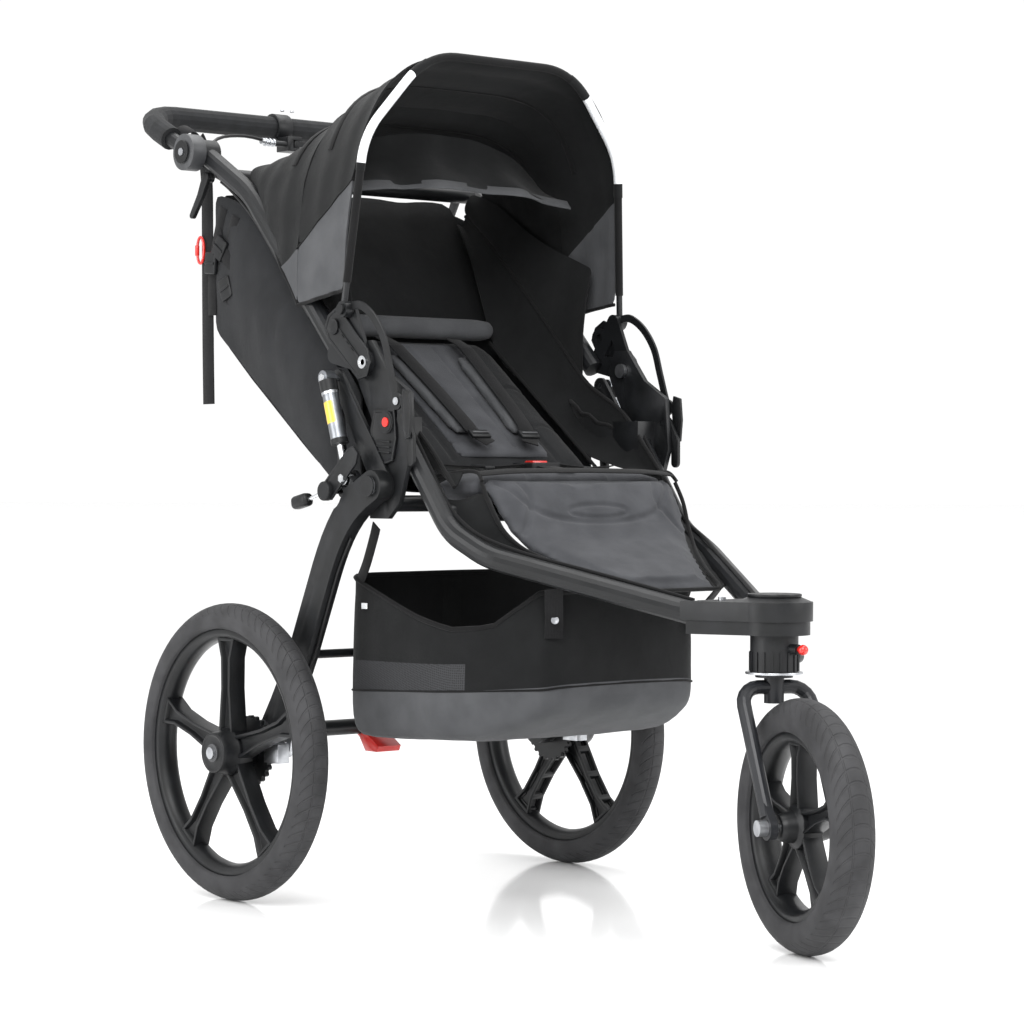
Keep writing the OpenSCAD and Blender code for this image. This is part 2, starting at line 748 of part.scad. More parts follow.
module rear_wheel_local() {
  half_ring = brake_ring_d / 2;
  hub_out = 34;
  difference() {
    union() {
      wheel(rear_tyre_d, rear_tyre_w, hub_d, axle_d + 2 * run_fit, 37, hub_out);
      color("#242528") difference() {
        rod_x(ring_x - wheel_x, ring_x - wheel_x + 8, [0, 0], brake_ring_d);
        rod_x(ring_x - wheel_x - 1, ring_x - wheel_x + 9, [0, 0], hub_d - 4);
        for (a = [0 : 360 / ring_slots : 359]) rotate([a, 0, 0])
          translate([ring_x - wheel_x - 1, half_ring - 4, -2.5]) cube([10, 6, 5]);
      }
    }
    rod_x(hub_out - 10, hub_out + 1, [0, 0], 17);
  }
}

module at_rear() {
  translate([wheel_x, axle_at.x, axle_at.y]) children();
}

module hub_button() {
  color("#c9cacc") at_rear() rod_x(28.5, 38.5, [0, 0], 16);
}

/* Front fork and wheel, turned about the steering axis */
module steered() {
  translate([0, steer_y, 0]) rotate([0, 0, -steer_turn]) children();
}

fork_x = front_tyre_w / 2 + 10 + fork_d / 2;
module fork() {
  color("#222326") steered() {
    translate([0, 0, 300]) cylinder(h = 97, d = stem_d);
    translate([0, 0, 332]) cylinder(h = 6.5, d = stem_d + 22);
    difference() {
      union() {
        both() bent_bar([
          [4, 0, 320], [fork_x, 0, 320], [fork_x, -lead * 0.36, 262], [fork_x, 6 - lead, axle_z + 12]
        ], fork_d, 24);
        both() plate_x(fork_x - 5, fork_x + 5) link([12 - lead, axle_z + 24], [-lead, axle_z], 16, 30);
      }
      rod_x(-fork_x - 10, fork_x + 10, [-lead, axle_z], 10 + 2 * run_fit);
    }
  }
}

module at_front() {
  steered() translate([0, -lead, axle_z]) children();
}

module front_axle() {
  color("#c4c6c8") at_front() {
    rod_x(-fork_x - 12, fork_x + 10, [0, 0], 10);
    rod_x(-fork_x - 17, -fork_x - 5.1, [0, 0], 20);
    rod_x(fork_x + 5.1, fork_x + 9, [0, 0], 20);
  }
}

// Quick-release cam lever on the end of the front axle
module axle_lever() {
  color("#2a2b2d") at_front() translate([fork_x + 16.6, 0, 0]) {
    translate([0, 0, -9]) cylinder(h = 18, d = 12);
    rotate([-90, 0, 0]) linear_extrude(56) square([5, 14], center = true);
  }
}

main_tube();  // main_tube_left
mirror([1, 0, 0]) main_tube();  // main_tube_right
nose_casting();
nose_cover();
frame_screws();
head_bushes();
hinge_plate();  // hinge_plate_left
mirror([1, 0, 0]) hinge_plate();  // hinge_plate_right
seat_crossbars();
seat_cushion();
footrest_pad();
basket();
harness_buckle();
buckle_button();
safety_button();  // safety_button_left
mirror([1, 0, 0]) safety_button();  // safety_button_right
release_lever();  // release_lever_left
mirror([1, 0, 0]) release_lever();  // release_lever_right
swivel_pin();
tracking_knob();
upper_tube();  // upper_tube_left
mirror([1, 0, 0]) upper_tube();  // upper_tube_right
upper_crossbar();
seat_sling();
brake_cable_frame();
handlebar_tube();
handlebar_grip();
handle_pivots();
handle_latches();
brake_lever_mount();
brake_cable_handle();
brake_lever();
canopy_clips();
canopy_bow();
canopy_cover();
backrest_pad();
shoulder_pads();
carrier_plates();
shock_cylinders();
shock_rods();
shock_knobs();
swingarm();  // swingarm_left
mirror([1, 0, 0]) swingarm();  // swingarm_right
axle_crossbars();
rear_axles();
brake_calipers();
caliper_arms();
brake_cable_axle();
parking_pedal();
at_rear() tyre(rear_tyre_d, rear_tyre_w);  // rear_tyre_left
mirror([1, 0, 0]) at_rear() tyre(rear_tyre_d, rear_tyre_w);  // rear_tyre_right
at_rear() rear_wheel_local();  // rear_wheel_left
mirror([1, 0, 0]) at_rear() rear_wheel_local();  // rear_wheel_right
hub_button();  // hub_button_left
mirror([1, 0, 0]) hub_button();  // hub_button_right
fork();
at_front() tyre(front_tyre_d, front_tyre_w);  // front_tyre
at_front() wheel(front_tyre_d, front_tyre_w, 40, 10 + 2 * run_fit, 35, 35);  // front_wheel
front_axle();
axle_lever();
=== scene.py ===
import bpy, bmesh, json, math, random
from mathutils import Vector, Matrix, noise


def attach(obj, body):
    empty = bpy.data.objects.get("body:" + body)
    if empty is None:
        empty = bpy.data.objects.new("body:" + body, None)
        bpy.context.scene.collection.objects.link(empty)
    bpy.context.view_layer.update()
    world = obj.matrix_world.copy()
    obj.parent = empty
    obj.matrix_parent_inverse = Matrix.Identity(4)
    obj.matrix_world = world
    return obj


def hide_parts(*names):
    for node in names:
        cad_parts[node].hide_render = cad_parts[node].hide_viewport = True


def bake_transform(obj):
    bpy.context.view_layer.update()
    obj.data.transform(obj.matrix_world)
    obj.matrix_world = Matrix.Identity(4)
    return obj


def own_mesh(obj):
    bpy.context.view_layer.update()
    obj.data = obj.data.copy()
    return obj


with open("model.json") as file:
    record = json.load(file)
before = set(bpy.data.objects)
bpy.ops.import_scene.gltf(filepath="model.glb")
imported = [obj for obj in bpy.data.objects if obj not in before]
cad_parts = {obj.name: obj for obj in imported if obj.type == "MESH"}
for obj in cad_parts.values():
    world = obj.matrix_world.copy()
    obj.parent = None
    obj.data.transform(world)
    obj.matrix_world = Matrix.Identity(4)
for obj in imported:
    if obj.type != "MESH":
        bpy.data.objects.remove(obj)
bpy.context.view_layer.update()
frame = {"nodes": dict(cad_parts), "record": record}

nodes = frame["nodes"]
random.seed(7)
bpy.ops.object.select_all(action="DESELECT")
scene = bpy.context.scene

# side points of the stroller as (y, z) in metres
side = {"foldPin": (0.103, 0.731), "swingPin": (0.062, 0.567), "socket": (0.164, 0.780),
        "shockTop": (0.161, 0.711), "shockLow": (0.118, 0.577), "crease": (0.080, 0.572),
        "button": (0.056, 0.651), "handlePin": (0.496, 1.040), "axle": (0.310, 0.203), "steerY": -0.423,
        "backTilt": 38, "wheelX": 0.3045, "upperX": 0.2245, "bowX": 0.248, "shockX": 0.256}

# small helpers


def toLinear(hexText):
    parts = [int(hexText[i:i + 2], 16) / 255 for i in (1, 3, 5)]
    return tuple(c / 12.92 if c <= 0.04045 else ((c + 0.055) / 1.055) ** 2.4 for c in parts) + (1.0,)


def addNode(tree, kind, settings=None, inputs=None, links=None):
    node = tree.nodes.new(kind)
    for key, value in (settings or {}).items():
        setattr(node, key, value)
    for key, value in (inputs or {}).items():
        node.inputs[key].default_value = value
    for key, socket in (links or {}).items():
        tree.links.new(socket, node.inputs[key])
    return node


# matt finishes that hold back the glare of a white room
dullSurfaces = ("powderCoatBlack", "powderCoatGraphite", "paintedCasting", "mouldedNylonBlack",
                "mouldedWheelNylon", "tyreTreadRubber", "cableSleeve")


def startMaterial(name, base, roughness, metallic=0.0, ior=None, coat=None, sheen=None):
    material = bpy.data.materials.new(name)
    material.use_nodes = True
    tree = material.node_tree
    shader = tree.nodes["Principled BSDF"]
    shader.inputs["Base Color"].default_value = toLinear(base)
    shader.inputs["Roughness"].default_value = roughness
    shader.inputs["Metallic"].default_value = metallic
    if ior:
        shader.inputs["IOR"].default_value = ior
    if coat:
        shader.inputs["Coat Weight"].default_value = coat[0]
        shader.inputs["Coat Roughness"].default_value = coat[1]
    if sheen:
        shader.inputs["Sheen Weight"].default_value = sheen[0]
        shader.inputs["Sheen Roughness"].default_value = sheen[1]
        shader.inputs["Specular IOR Level"].default_value = 0.22  # yarn and foam hardly glint
    if metallic == 0.0 and name in dullSurfaces:
        shader.inputs["Specular IOR Level"].default_value = 0.26
    where = addNode(tree, "ShaderNodeTexCoord")
    return material, tree, shader, where


def setRamp(ramp, dark, light, low, high):
    ends = ramp.color_ramp.elements
    ends[0].position, ends[1].position = low, high
    ends[0].color, ends[1].color = toLinear(dark), toLinear(light)


def varyColour(tree, shader, where, light, dark, scale, low=0.35, high=0.65, detail=4.0):
    grain = addNode(tree, "ShaderNodeTexNoise", inputs={"Scale": scale, "Detail": detail},
                    links={"Vector": where.outputs["Object"]})
    ramp = addNode(tree, "ShaderNodeValToRGB", links={"Fac": grain.outputs["Fac"]})
    setRamp(ramp, dark, light, low, high)
    tree.links.new(ramp.outputs["Color"], shader.inputs["Base Color"])
    return ramp


def varyRoughness(tree, shader, where, low, high, scale):
    patch = addNode(tree, "ShaderNodeTexNoise", inputs={"Scale": scale, "Detail": 3.0},
                    links={"Vector": where.outputs["Object"]})
    limits = {"From Min": 0.3, "From Max": 0.7, "To Min": low, "To Max": high}
    span = addNode(tree, "ShaderNodeMapRange", inputs=limits, links={"Value": patch.outputs["Fac"]})
    tree.links.new(span.outputs["Result"], shader.inputs["Roughness"])


def addBump(tree, shader, height, strength, distance, under=None):
    links = {"Height": height}
    if under:
        links["Normal"] = under.outputs["Normal"]
    bump = addNode(tree, "ShaderNodeBump", inputs={"Strength": strength, "Distance": distance}, links=links)
    tree.links.new(bump.outputs["Normal"], shader.inputs["Normal"])
    return bump


def noiseHeight(tree, where, scale, detail=2.0):
    return addNode(tree, "ShaderNodeTexNoise", inputs={"Scale": scale, "Detail": detail},
                   links={"Vector": where.outputs["Object"]}).outputs["Fac"]

# materials


def powderCoat(name, light, dark, roughness=0.38):
    # polyester powder coat on alloy tube: satin, with a faint orange peel a millimetre or two across
    material, tree, shader, where = startMaterial(name, light, roughness, ior=1.5, coat=(0.06, 0.22))
    varyColour(tree, shader, where, light, dark, 14.0)
    varyRoughness(tree, shader, where, roughness - 0.06, roughness + 0.08, 22.0)
    addBump(tree, shader, noiseHeight(tree, where, 620.0), 0.10, 0.0004)
    return material


def castAlloy(name, light, dark):
    # painted die casting: satin paint over a slightly rough skin, rubbed lighter in places
    material, tree, shader, where = startMaterial(name, light, 0.42, ior=1.5, coat=(0.05, 0.3))
    varyColour(tree, shader, where, light, dark, 30.0)
    varyRoughness(tree, shader, where, 0.34, 0.52, 40.0)
    addBump(tree, shader, noiseHeight(tree, where, 900.0, 3.0), 0.18, 0.0003)
    return material


def brushedAlloy(name, base, dark, roughness):
    # machined or drawn metal: fine lines drawn coarser than real, about 0.4 mm apart, so that they show
    material, tree, shader, where = startMaterial(name, base, roughness, metallic=1.0)
    turn = addNode(tree, "ShaderNodeMapping", inputs={"Scale": (40.0, 900.0, 900.0)},
                   links={"Vector": where.outputs["Object"]})
    lines = addNode(tree, "ShaderNodeTexNoise", inputs={"Scale": 2.5, "Detail": 2.0},
                    links={"Vector": turn.outputs["Vector"]})
    varyColour(tree, shader, where, base, dark, 55.0)
    span = addNode(tree, "ShaderNodeMapRange",
                   inputs={"To Min": roughness - 0.08, "To Max": roughness + 0.12},
                   links={"Value": lines.outputs["Fac"]})
    tree.links.new(span.outputs["Result"], shader.inputs["Roughness"])
    addBump(tree, shader, lines.outputs["Fac"], 0.12, 0.0002)
    return material


def mouldedNylon(name, light, dark, roughness=0.5):
    # glass filled nylon: spark eroded texture about 0.5 mm across, with a low sheen and softer worn patches
    material, tree, shader, where = startMaterial(name, light, roughness, ior=1.53)
    varyColour(tree, shader, where, light, dark, 45.0)
    varyRoughness(tree, shader, where, roughness - 0.1, roughness + 0.08, 18.0)
    addBump(tree, shader, noiseHeight(tree, where, 1300.0, 1.0), 0.25, 0.0003)
    return material


def glossyAbs(name, light, dark):
    # moulded ABS in a strong colour: smooth, with a soft highlight and slight flow marks
    material, tree, shader, where = startMaterial(name, light, 0.28, ior=1.54, coat=(0.3, 0.12))
    varyColour(tree, shader, where, light, dark, 20.0)
    addBump(tree, shader, noiseHeight(tree, where, 180.0), 0.06, 0.0004)
    return material


def foamRubber(name, light, dark):
    # closed cell foam sleeve: dull, with fine open pores near 1 mm
    material, tree, shader, where = startMaterial(name, light, 0.86, sheen=(0.05, 0.6))
    pores = addNode(tree, "ShaderNodeTexVoronoi", inputs={"Scale": 850.0},
                    links={"Vector": where.outputs["Object"]})
    varyColour(tree, shader, where, light, dark, 60.0)
    addBump(tree, shader, pores.outputs["Distance"], 0.35, 0.0006)
    return material


def tyreRubber(name, light, dark):
    # vulcanised tread rubber: charcoal grey, with random lighter and darker patches
    material, tree, shader, where = startMaterial(name, light, 0.78, ior=1.52)
    varyColour(tree, shader, where, light, dark, 35.0)
    varyRoughness(tree, shader, where, 0.66, 0.86, 12.0)
    addBump(tree, shader, noiseHeight(tree, where, 700.0, 3.0), 0.2, 0.0004)
    return material


def wovenCloth(name, light, dark, spacing=0.0011, depth=0.00035, sheen=0.06, roughness=0.86):
    # plain woven polyester: threads drawn at about 1 mm, twice the real spacing, so that they show;
    # the pattern reads the piece's own UV map, which is in metres along the cloth
    material, tree, shader, where = startMaterial(name, light, roughness, sheen=(sheen, 0.45))
    size = addNode(tree, "ShaderNodeMapping", inputs={"Scale": (1.0 / spacing, 1.0 / spacing, 1.0)},
                   links={"Vector": where.outputs["UV"]})
    across = addNode(tree, "ShaderNodeTexWave", settings={"wave_type": "BANDS", "bands_direction": "X"},
                     inputs={"Scale": 0.314, "Distortion": 0.6, "Detail": 1.0},
                     links={"Vector": size.outputs["Vector"]})
    along = addNode(tree, "ShaderNodeTexWave", settings={"wave_type": "BANDS", "bands_direction": "Y"},
                    inputs={"Scale": 0.314, "Distortion": 0.6, "Detail": 1.0},
                    links={"Vector": size.outputs["Vector"]})
    weave = addNode(tree, "ShaderNodeMath", settings={"operation": "MULTIPLY"},
                    links={0: across.outputs["Fac"], 1: along.outputs["Fac"]})
    tone = addNode(tree, "ShaderNodeTexNoise", inputs={"Scale": 26.0, "Detail": 5.0},
                   links={"Vector": where.outputs["Object"]})
    mixed = addNode(tree, "ShaderNodeMath", settings={"operation": "MULTIPLY_ADD"}, inputs={1: 0.45},
                    links={0: weave.outputs["Value"], 2: tone.outputs["Fac"]})
    ramp = addNode(tree, "ShaderNodeValToRGB", links={"Fac": mixed.outputs["Value"]})
    setRamp(ramp, dark, light, 0.4, 0.85)
    tree.links.new(ramp.outputs["Color"], shader.inputs["Base Color"])
    folds = addNode(tree, "ShaderNodeTexNoise", inputs={"Scale": 34.0, "Detail": 3.0, "Distortion": 0.4},
                    links={"Vector": where.outputs["Object"]})
    first = addNode(tree, "ShaderNodeBump", inputs={"Strength": 0.35, "Distance": 0.003},
                    links={"Height": folds.outputs["Fac"]})
    addBump(tree, shader, weave.outputs["Value"], 0.5, depth, first)
    return material


print("materials")
mats = {
    "frame": powderCoat("powderCoatBlack", "#17181a", "#111213"),
    "frameGrey": powderCoat("powderCoatGraphite", "#222326", "#1a1b1d", 0.34),
    "cast": castAlloy("paintedCasting", "#17181a", "#101112"),
    "alloy": brushedAlloy("machinedAluminium", "#c2c4c7", "#a4a6aa", 0.32),
    "greyAlloy": brushedAlloy("anodisedGrey", "#8d9094", "#74777b", 0.38),
    "chrome": brushedAlloy("chromePlate", "#dcdee0", "#cfd1d4", 0.14),
    "bronze": brushedAlloy("oiledBronze", "#b08d4e", "#8f7140", 0.4),
    "nylon": mouldedNylon("mouldedNylonBlack", "#131416", "#0d0e0f", 0.46),
    "wheelNylon": mouldedNylon("mouldedWheelNylon", "#121315", "#0d0e0f", 0.4),
    "greyNylon": mouldedNylon("mouldedNylonGrey", "#3c3d3f", "#303133", 0.5),
    "red": glossyAbs("redAbs", "#cf2119", "#b51c15"),
    "yellow": glossyAbs("yellowAbs", "#d8b53a", "#c4a232"),
    "foam": foamRubber("foamSleeve", "#1e1f21", "#151617"),
    "tyre": tyreRubber("tyreTreadRubber", "#111112", "#0a0a0b"),
    "sleeve": mouldedNylon("cableSleeve", "#101011", "#0b0b0c", 0.42),
    "seat": wovenCloth("seatPolyester", "#414245", "#323336"),
    "seatDark": wovenCloth("seatSidePolyester", "#151618", "#0e0f10"),
    "canopy": wovenCloth("canopyPolyester", "#1f2022", "#151618"),
    "wedge": wovenCloth("greyPanelPolyester", "#48494b", "#3b3c3e"),
    "black": wovenCloth("blackPolyester", "#0f1011", "#08090a"),
    "binding": wovenCloth("bindingTape", "#0c0c0d", "#070708", 0.0016),
    "webbing": wovenCloth("polyesterWebbing", "#101012", "#09090a", 0.0020, 0.0006),
}


def seeThroughMesh(name):
    # knitted polyester mesh over the basket side: dark net with 3 mm holes, drawn as a bump and a lighter
    # tone for the net; the holes are painted near black, painted shade of the basket's inside seen through
    # them
    material, tree, shader, where = startMaterial(name, "#2c2d30", 0.8)
    size = addNode(tree, "ShaderNodeMapping", inputs={"Scale": (1 / 0.0032, 1 / 0.0032, 1.0)},
                   links={"Vector": where.outputs["UV"]})
    holes = addNode(tree, "ShaderNodeTexVoronoi", inputs={"Scale": 1.0, "Randomness": 0.15},
                    links={"Vector": size.outputs["Vector"]})
    # cell centres are the holes, painted near black as painted shade inside the basket; the cell rims are the
    # net's own dark grey
    ramp = addNode(tree, "ShaderNodeValToRGB", links={"Fac": holes.outputs["Distance"]})
    setRamp(ramp, "#050506", "#26272a", 0.28, 0.42)
    tree.links.new(ramp.outputs["Color"], shader.inputs["Base Color"])
    addBump(tree, shader, holes.outputs["Distance"], 0.6, 0.0008)
    return material


def reflectiveTape(name):
    # silver retroreflective tape: bright, with a fine honeycomb of 2.5 mm cells
    material, tree, shader, where = startMaterial(name, "#e2e4e6", 0.34, metallic=0.15)
    size = addNode(tree, "ShaderNodeMapping", inputs={"Scale": (1 / 0.0025, 1 / 0.0025, 1.0)},
                   links={"Vector": where.outputs["UV"]})
    cells = addNode(tree, "ShaderNodeTexVoronoi", settings={"feature": "DISTANCE_TO_EDGE"},
                    inputs={"Scale": 1.0, "Randomness": 0.1}, links={"Vector": size.outputs["Vector"]})
    ramp = addNode(tree, "ShaderNodeValToRGB", links={"Fac": cells.outputs["Distance"]})
    setRamp(ramp, "#b4b6b9", "#e6e8ea", 0.0, 0.12)
    tree.links.new(ramp.outputs["Color"], shader.inputs["Base Color"])
    return material


mats["mesh"] = seeThroughMesh("knittedMesh")
mats["tape"] = reflectiveTape("reflectiveTape")

carriedOver = {"frame": ["main_tube_left", "main_tube_right", "seat_crossbars", "upper_tube_left",
                         "upper_tube_right", "upper_crossbar", "handlebar_tube", "axle_crossbars",
                         "canopy_bow"], "frameGrey": ["fork"], "cast": ["brake_lever_mount", "nose_casting",
        "nose_cover", "hinge_plate_left", "hinge_plate_right", "carrier_plates", "swingarm_left",
        "swingarm_right"], "alloy": ["frame_screws", "rear_axles", "brake_calipers", "caliper_arms",
                                     "front_axle", "hub_button_left", "hub_button_right"],
               "greyAlloy": ["shock_cylinders"], "chrome": ["shock_rods"], "bronze": ["head_bushes"],
               "nylon": ["harness_buckle", "release_lever_left", "release_lever_right", "handle_latches",
                         "brake_lever", "canopy_clips", "shock_knobs", "axle_lever"],
               "greyNylon": ["tracking_knob", "handle_pivots"],
               "wheelNylon": ["rear_wheel_left", "rear_wheel_right", "front_wheel"],
               "red": ["buckle_button", "safety_button_left", "safety_button_right", "swivel_pin",
                       "parking_pedal"], "foam": ["handlebar_grip"],
               "tyre": ["rear_tyre_left", "rear_tyre_right", "front_tyre"],
               "sleeve": ["brake_cable_frame", "brake_cable_handle", "brake_cable_axle"],
               "seat": ["seat_cushion", "footrest_pad", "backrest_pad", "shoulder_pads"],
               "black": ["basket", "seat_sling", "canopy_cover"]}
for key, names in carriedOver.items():
    for name in names:
        node = nodes[name]
        for slotIndex in range(max(1, len(node.material_slots))):
            if not node.material_slots:
                node.data.materials.append(mats[key])
            else:
                node.material_slots[slotIndex].material = mats[key]

# making pieces
bodyOf = {node: body for body, names in frame["record"]["behaviour"]["bodies"].items() for node in names}


def deselect():
    if bpy.context.mode != "OBJECT":
        bpy.ops.object.mode_set(mode="OBJECT")
    bpy.ops.object.select_all(action="DESELECT")


def pick(piece):
    deselect()
    piece.select_set(True)
    bpy.context.view_layer.objects.active = piece


def finishPiece(piece, name, material, body=None, smooth=35):
    pick(piece)
    bpy.ops.object.transform_apply(location=True, rotation=True, scale=True)
    piece.name = name
    if material is not None:
        piece.data.materials.clear()
        piece.data.materials.append(material)
    if smooth:
        bpy.ops.object.shade_smooth_by_angle(angle=math.radians(smooth))
    if body:
        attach(piece, body)
    return piece


def applyModifier(piece, kind, **settings):
    pick(piece)
    bpy.ops.object.modifier_add(type=kind)
    modifier = piece.modifiers[-1]
    for key, value in settings.items():
        setattr(modifier, key, value)
    bpy.ops.object.modifier_apply(modifier=modifier.name)


def bevelEdges(piece, width, segments=2, angle=32):
    applyModifier(piece, "BEVEL", width=width, segments=segments, limit_method="ANGLE",
                  angle_limit=math.radians(angle))


def fixNormals(piece, merge=0.00002):
    pick(piece)
    bpy.ops.object.mode_set(mode="EDIT")
    bpy.ops.mesh.select_all(action="SELECT")
    bpy.ops.mesh.remove_doubles(threshold=merge)
    bpy.ops.mesh.normals_make_consistent(inside=False)
    bpy.ops.object.mode_set(mode="OBJECT")


def turnAngles(count):
    return [2 * math.pi * k / count for k in range(count)]


def meshPiece(name, points, faces, uvs=None):
    data = bpy.data.meshes.new(name)
    data.from_pydata([tuple(p) for p in points], [], faces)
    if uvs:
        layer = data.uv_layers.new(name="cloth")
        for loop in data.loops:
            layer.data[loop.index].uv = uvs[loop.vertex_index]
    piece = bpy.data.objects.new(name, data)
    scene.collection.objects.link(piece)
    return piece


def smoothPath(points, steps=6, closed=False):
    points = [Vector(p) for p in points]
    count, result = len(points), []
    for i in range(count if closed else count - 1):
        a = points[(i - 1) % count] if closed or i else points[0]
        b, c = points[i], points[(i + 1) % count]
        d = points[(i + 2) % count] if closed or i + 2 < count else points[-1]
        for k in range(steps):
            t = k / steps
            result.append(0.5 * (2 * b + (c - a) * t + (2 * a - 5 * b + 4 * c - d) * t * t
                                 + (3 * b - a - 3 * c + d) * t ** 3))
    if not closed:
        result.append(points[-1])
    return result


def sweep(name, path, section, material, body=None, up=(0, 0, 1), closed=False, smooth=40):
    # section is a ring of (across, out) offsets; out leans towards up
    path = [Vector(p) for p in path]
    count, ring = len(path), len(section)
    points, uvs, along = [], [], 0.0
    girth = [0.0]
    for i in range(1, ring):
        girth.append(girth[-1] + math.dist(section[i], section[i - 1]))
    ups = up if isinstance(up, list) else [Vector(up)] * count
    for i, p in enumerate(path):
        before = path[(i - 1) % count] if closed or i else p
        after = path[(i + 1) % count] if closed or i + 1 < count else p
        forward = (after - before).normalized()
        lean = Vector(ups[i])
        out = (lean - forward * lean.dot(forward)).normalized()
        across = forward.cross(out)
        if i:
            along += (p - path[i - 1]).length
        for k, (s, h) in enumerate(section):
            points.append(p + across * s + out * h)
            uvs.append((girth[k], along))
    faces = []
    for i in range(count if closed else count - 1):
        for k in range(ring):
            j, n = (k + 1) % ring, (i + 1) % count
            faces.append((i * ring + k, i * ring + j, n * ring + j, n * ring + k))
    if not closed:
        faces += [tuple(range(ring - 1, -1, -1)), tuple((count - 1) * ring + k for k in range(ring))]
    piece = meshPiece(name, points, faces, uvs)
    fixNormals(piece)
    return finishPiece(piece, name, material, body, smooth)


def roundSection(radius, sides=10, squash=1.0):
    return [(radius * math.cos(2 * math.pi * k / sides),
             radius * squash * math.sin(2 * math.pi * k / sides)) for k in range(sides)]


def strapSection(width, thick):
    w, t = width / 2, thick / 2
    return [(-w, -t * 0.4), (-w + t, -t), (0, -t), (w - t, -t), (w, -t * 0.4), (w, t * 0.4), (w - t, t),
            (0, t), (-w + t, t), (-w, t * 0.4)]


def tube(name, points, radius, material, body=None, steps=6, sides=10, up=(0.13, 0.29, 0.95)):
    return sweep(name, smoothPath(points, steps), roundSection(radius, sides), material, body, up)


def strap(name, points, width, thick, material, body=None, up=(0, 0, 1), steps=8):
    return sweep(name, smoothPath(points, steps), strapSection(width, thick), material, body, up, smooth=50)


def clothSheet(name, rows, material, thick=0.0022, level=1, closed=False, ripple=0.0, grain=30.0):
    # rows of points make a sheet; its UV map is in metres along the cloth
    high, wide = len(rows), len(rows[0])
    points = [Vector(p) for row in rows for p in row]
    faces, uvs = [], []
    for i in range(high):
        run = 0.0
        for k in range(wide):
            if k:
                run += (points[i * wide + k] - points[i * wide + k - 1]).length
            rise = sum((points[r * wide + k] - points[(r - 1) * wide + k]).length for r in range(1, i + 1))
            uvs.append((run, rise))
    for i in range(high - 1):
        for k in range(wide if closed else wide - 1):
            j = (k + 1) % wide
            faces.append((i * wide + k, i * wide + j, (i + 1) * wide + j, (i + 1) * wide + k))
    piece = meshPiece(name, points, faces, uvs)
    fixNormals(piece)
    if level:
        applyModifier(piece, "SUBSURF", levels=level, render_levels=level)
    if ripple:
        for vertex in piece.data.vertices:
            shift = noise.noise(vertex.co * grain) + 0.5 * noise.noise(vertex.co * grain * 2.3)
            vertex.co += vertex.normal * ripple * shift
    applyModifier(piece, "SOLIDIFY", thickness=thick, offset=0.0)
    return finishPiece(piece, name, material, None, 60)


def lathe(name, profile, material, steps=72):
    # profile is a closed ring of (x, radius), spun about the X axis
    data = bpy.data.meshes.new(name)
    count = len(profile)
    data.from_pydata([(x, 0, r) for x, r in profile], [(k, (k + 1) % count) for k in range(count)], [])
    piece = bpy.data.objects.new(name, data)
    scene.collection.objects.link(piece)
    pick(piece)
    bpy.ops.object.mode_set(mode="EDIT")
    bpy.ops.mesh.select_all(action="SELECT")
    bpy.ops.mesh.spin(steps=steps, angle=2 * math.pi, center=(0, 0, 0), axis=(1, 0, 0))
    bpy.ops.object.mode_set(mode="OBJECT")
    fixNormals(piece)
    piece.data.materials.append(material)
    return piece


def roundBlock(name, size, place, turn, width, material, body=None, segments=3, tapers=None):
    # a bevelled block: size, then turned about the three axes in degrees, then placed
    deselect()
    bpy.ops.mesh.primitive_cube_add(size=1, location=(0, 0, 0))
    piece = bpy.context.object
    piece.scale = size
    bpy.ops.object.transform_apply(location=False, rotation=False, scale=True)
    if tapers:
        for vertex in piece.data.vertices:
            if vertex.co.z < 0:
                vertex.co.x *= tapers[0]
                vertex.co.y *= tapers[1]
    bevelEdges(piece, width, segments)
    piece.rotation_euler = tuple(math.radians(t) for t in turn)
    piece.location = place
    return finishPiece(piece, name, material, body)


def disc(name, radius, depth, place, material, body=None, axis="X", width=0.001, sides=40, inset=None):
    # a turned disc, bevelled, with an optional sunk face (radius share, depth)
    deselect()
    bpy.ops.mesh.primitive_cylinder_add(radius=radius, depth=depth, vertices=sides, location=(0, 0, 0))
    piece = bpy.context.object
    if inset:
        pick(piece)
        bpy.ops.object.mode_set(mode="EDIT")
        bpy.ops.mesh.select_all(action="DESELECT")
        bpy.ops.object.mode_set(mode="OBJECT")
        bothFaces = len(inset) > 2
        for face in piece.data.polygons:
            face.select = abs(face.normal.z) > 0.9 and (bothFaces or face.center.z > 0)
        bpy.ops.object.mode_set(mode="EDIT")
        bpy.ops.mesh.inset(thickness=radius * (1 - inset[0]), depth=-inset[1], use_individual=True)
        bpy.ops.object.mode_set(mode="OBJECT")
    bevelEdges(piece, width, 2)
    if isinstance(axis, str):
        axis = {"X": (1, 0, 0), "Y": (0, 1, 0), "Z": (0, 0, 1), "-X": (-1, 0, 0), "-Y": (0, -1, 0)}[axis]
    piece.rotation_euler = Vector(axis).to_track_quat("Z", "Y").to_euler()
    piece.location = place
    return finishPiece(piece, name, material, body)


def soften(nodeName, material, width, segments=2, angle=30):
    # a merged copy of a CAD node with rounded edges stands for it
    source = nodes[nodeName]
    piece = source.copy()
    piece.data = source.data.copy()
    piece.parent = None
    for key in list(piece.keys()):
        del piece[key]
    scene.collection.objects.link(piece)
    piece.name = nodeName + "_rounded"
    pick(piece)
    bpy.ops.object.mode_set(mode="EDIT")
    bpy.ops.mesh.select_all(action="SELECT")
    bpy.ops.mesh.remove_doubles(threshold=0.00001)
    bpy.ops.mesh.dissolve_limited(angle_limit=math.radians(1.5))
    bpy.ops.object.mode_set(mode="OBJECT")
    applyModifier(piece, "BEVEL", width=width, segments=segments, limit_method="ANGLE",
                  angle_limit=math.radians(angle), use_clamp_overlap=True)
    finishPiece(piece, nodeName + "_rounded", material, bodyOf[nodeName], 32)
    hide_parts(nodeName)
    return piece


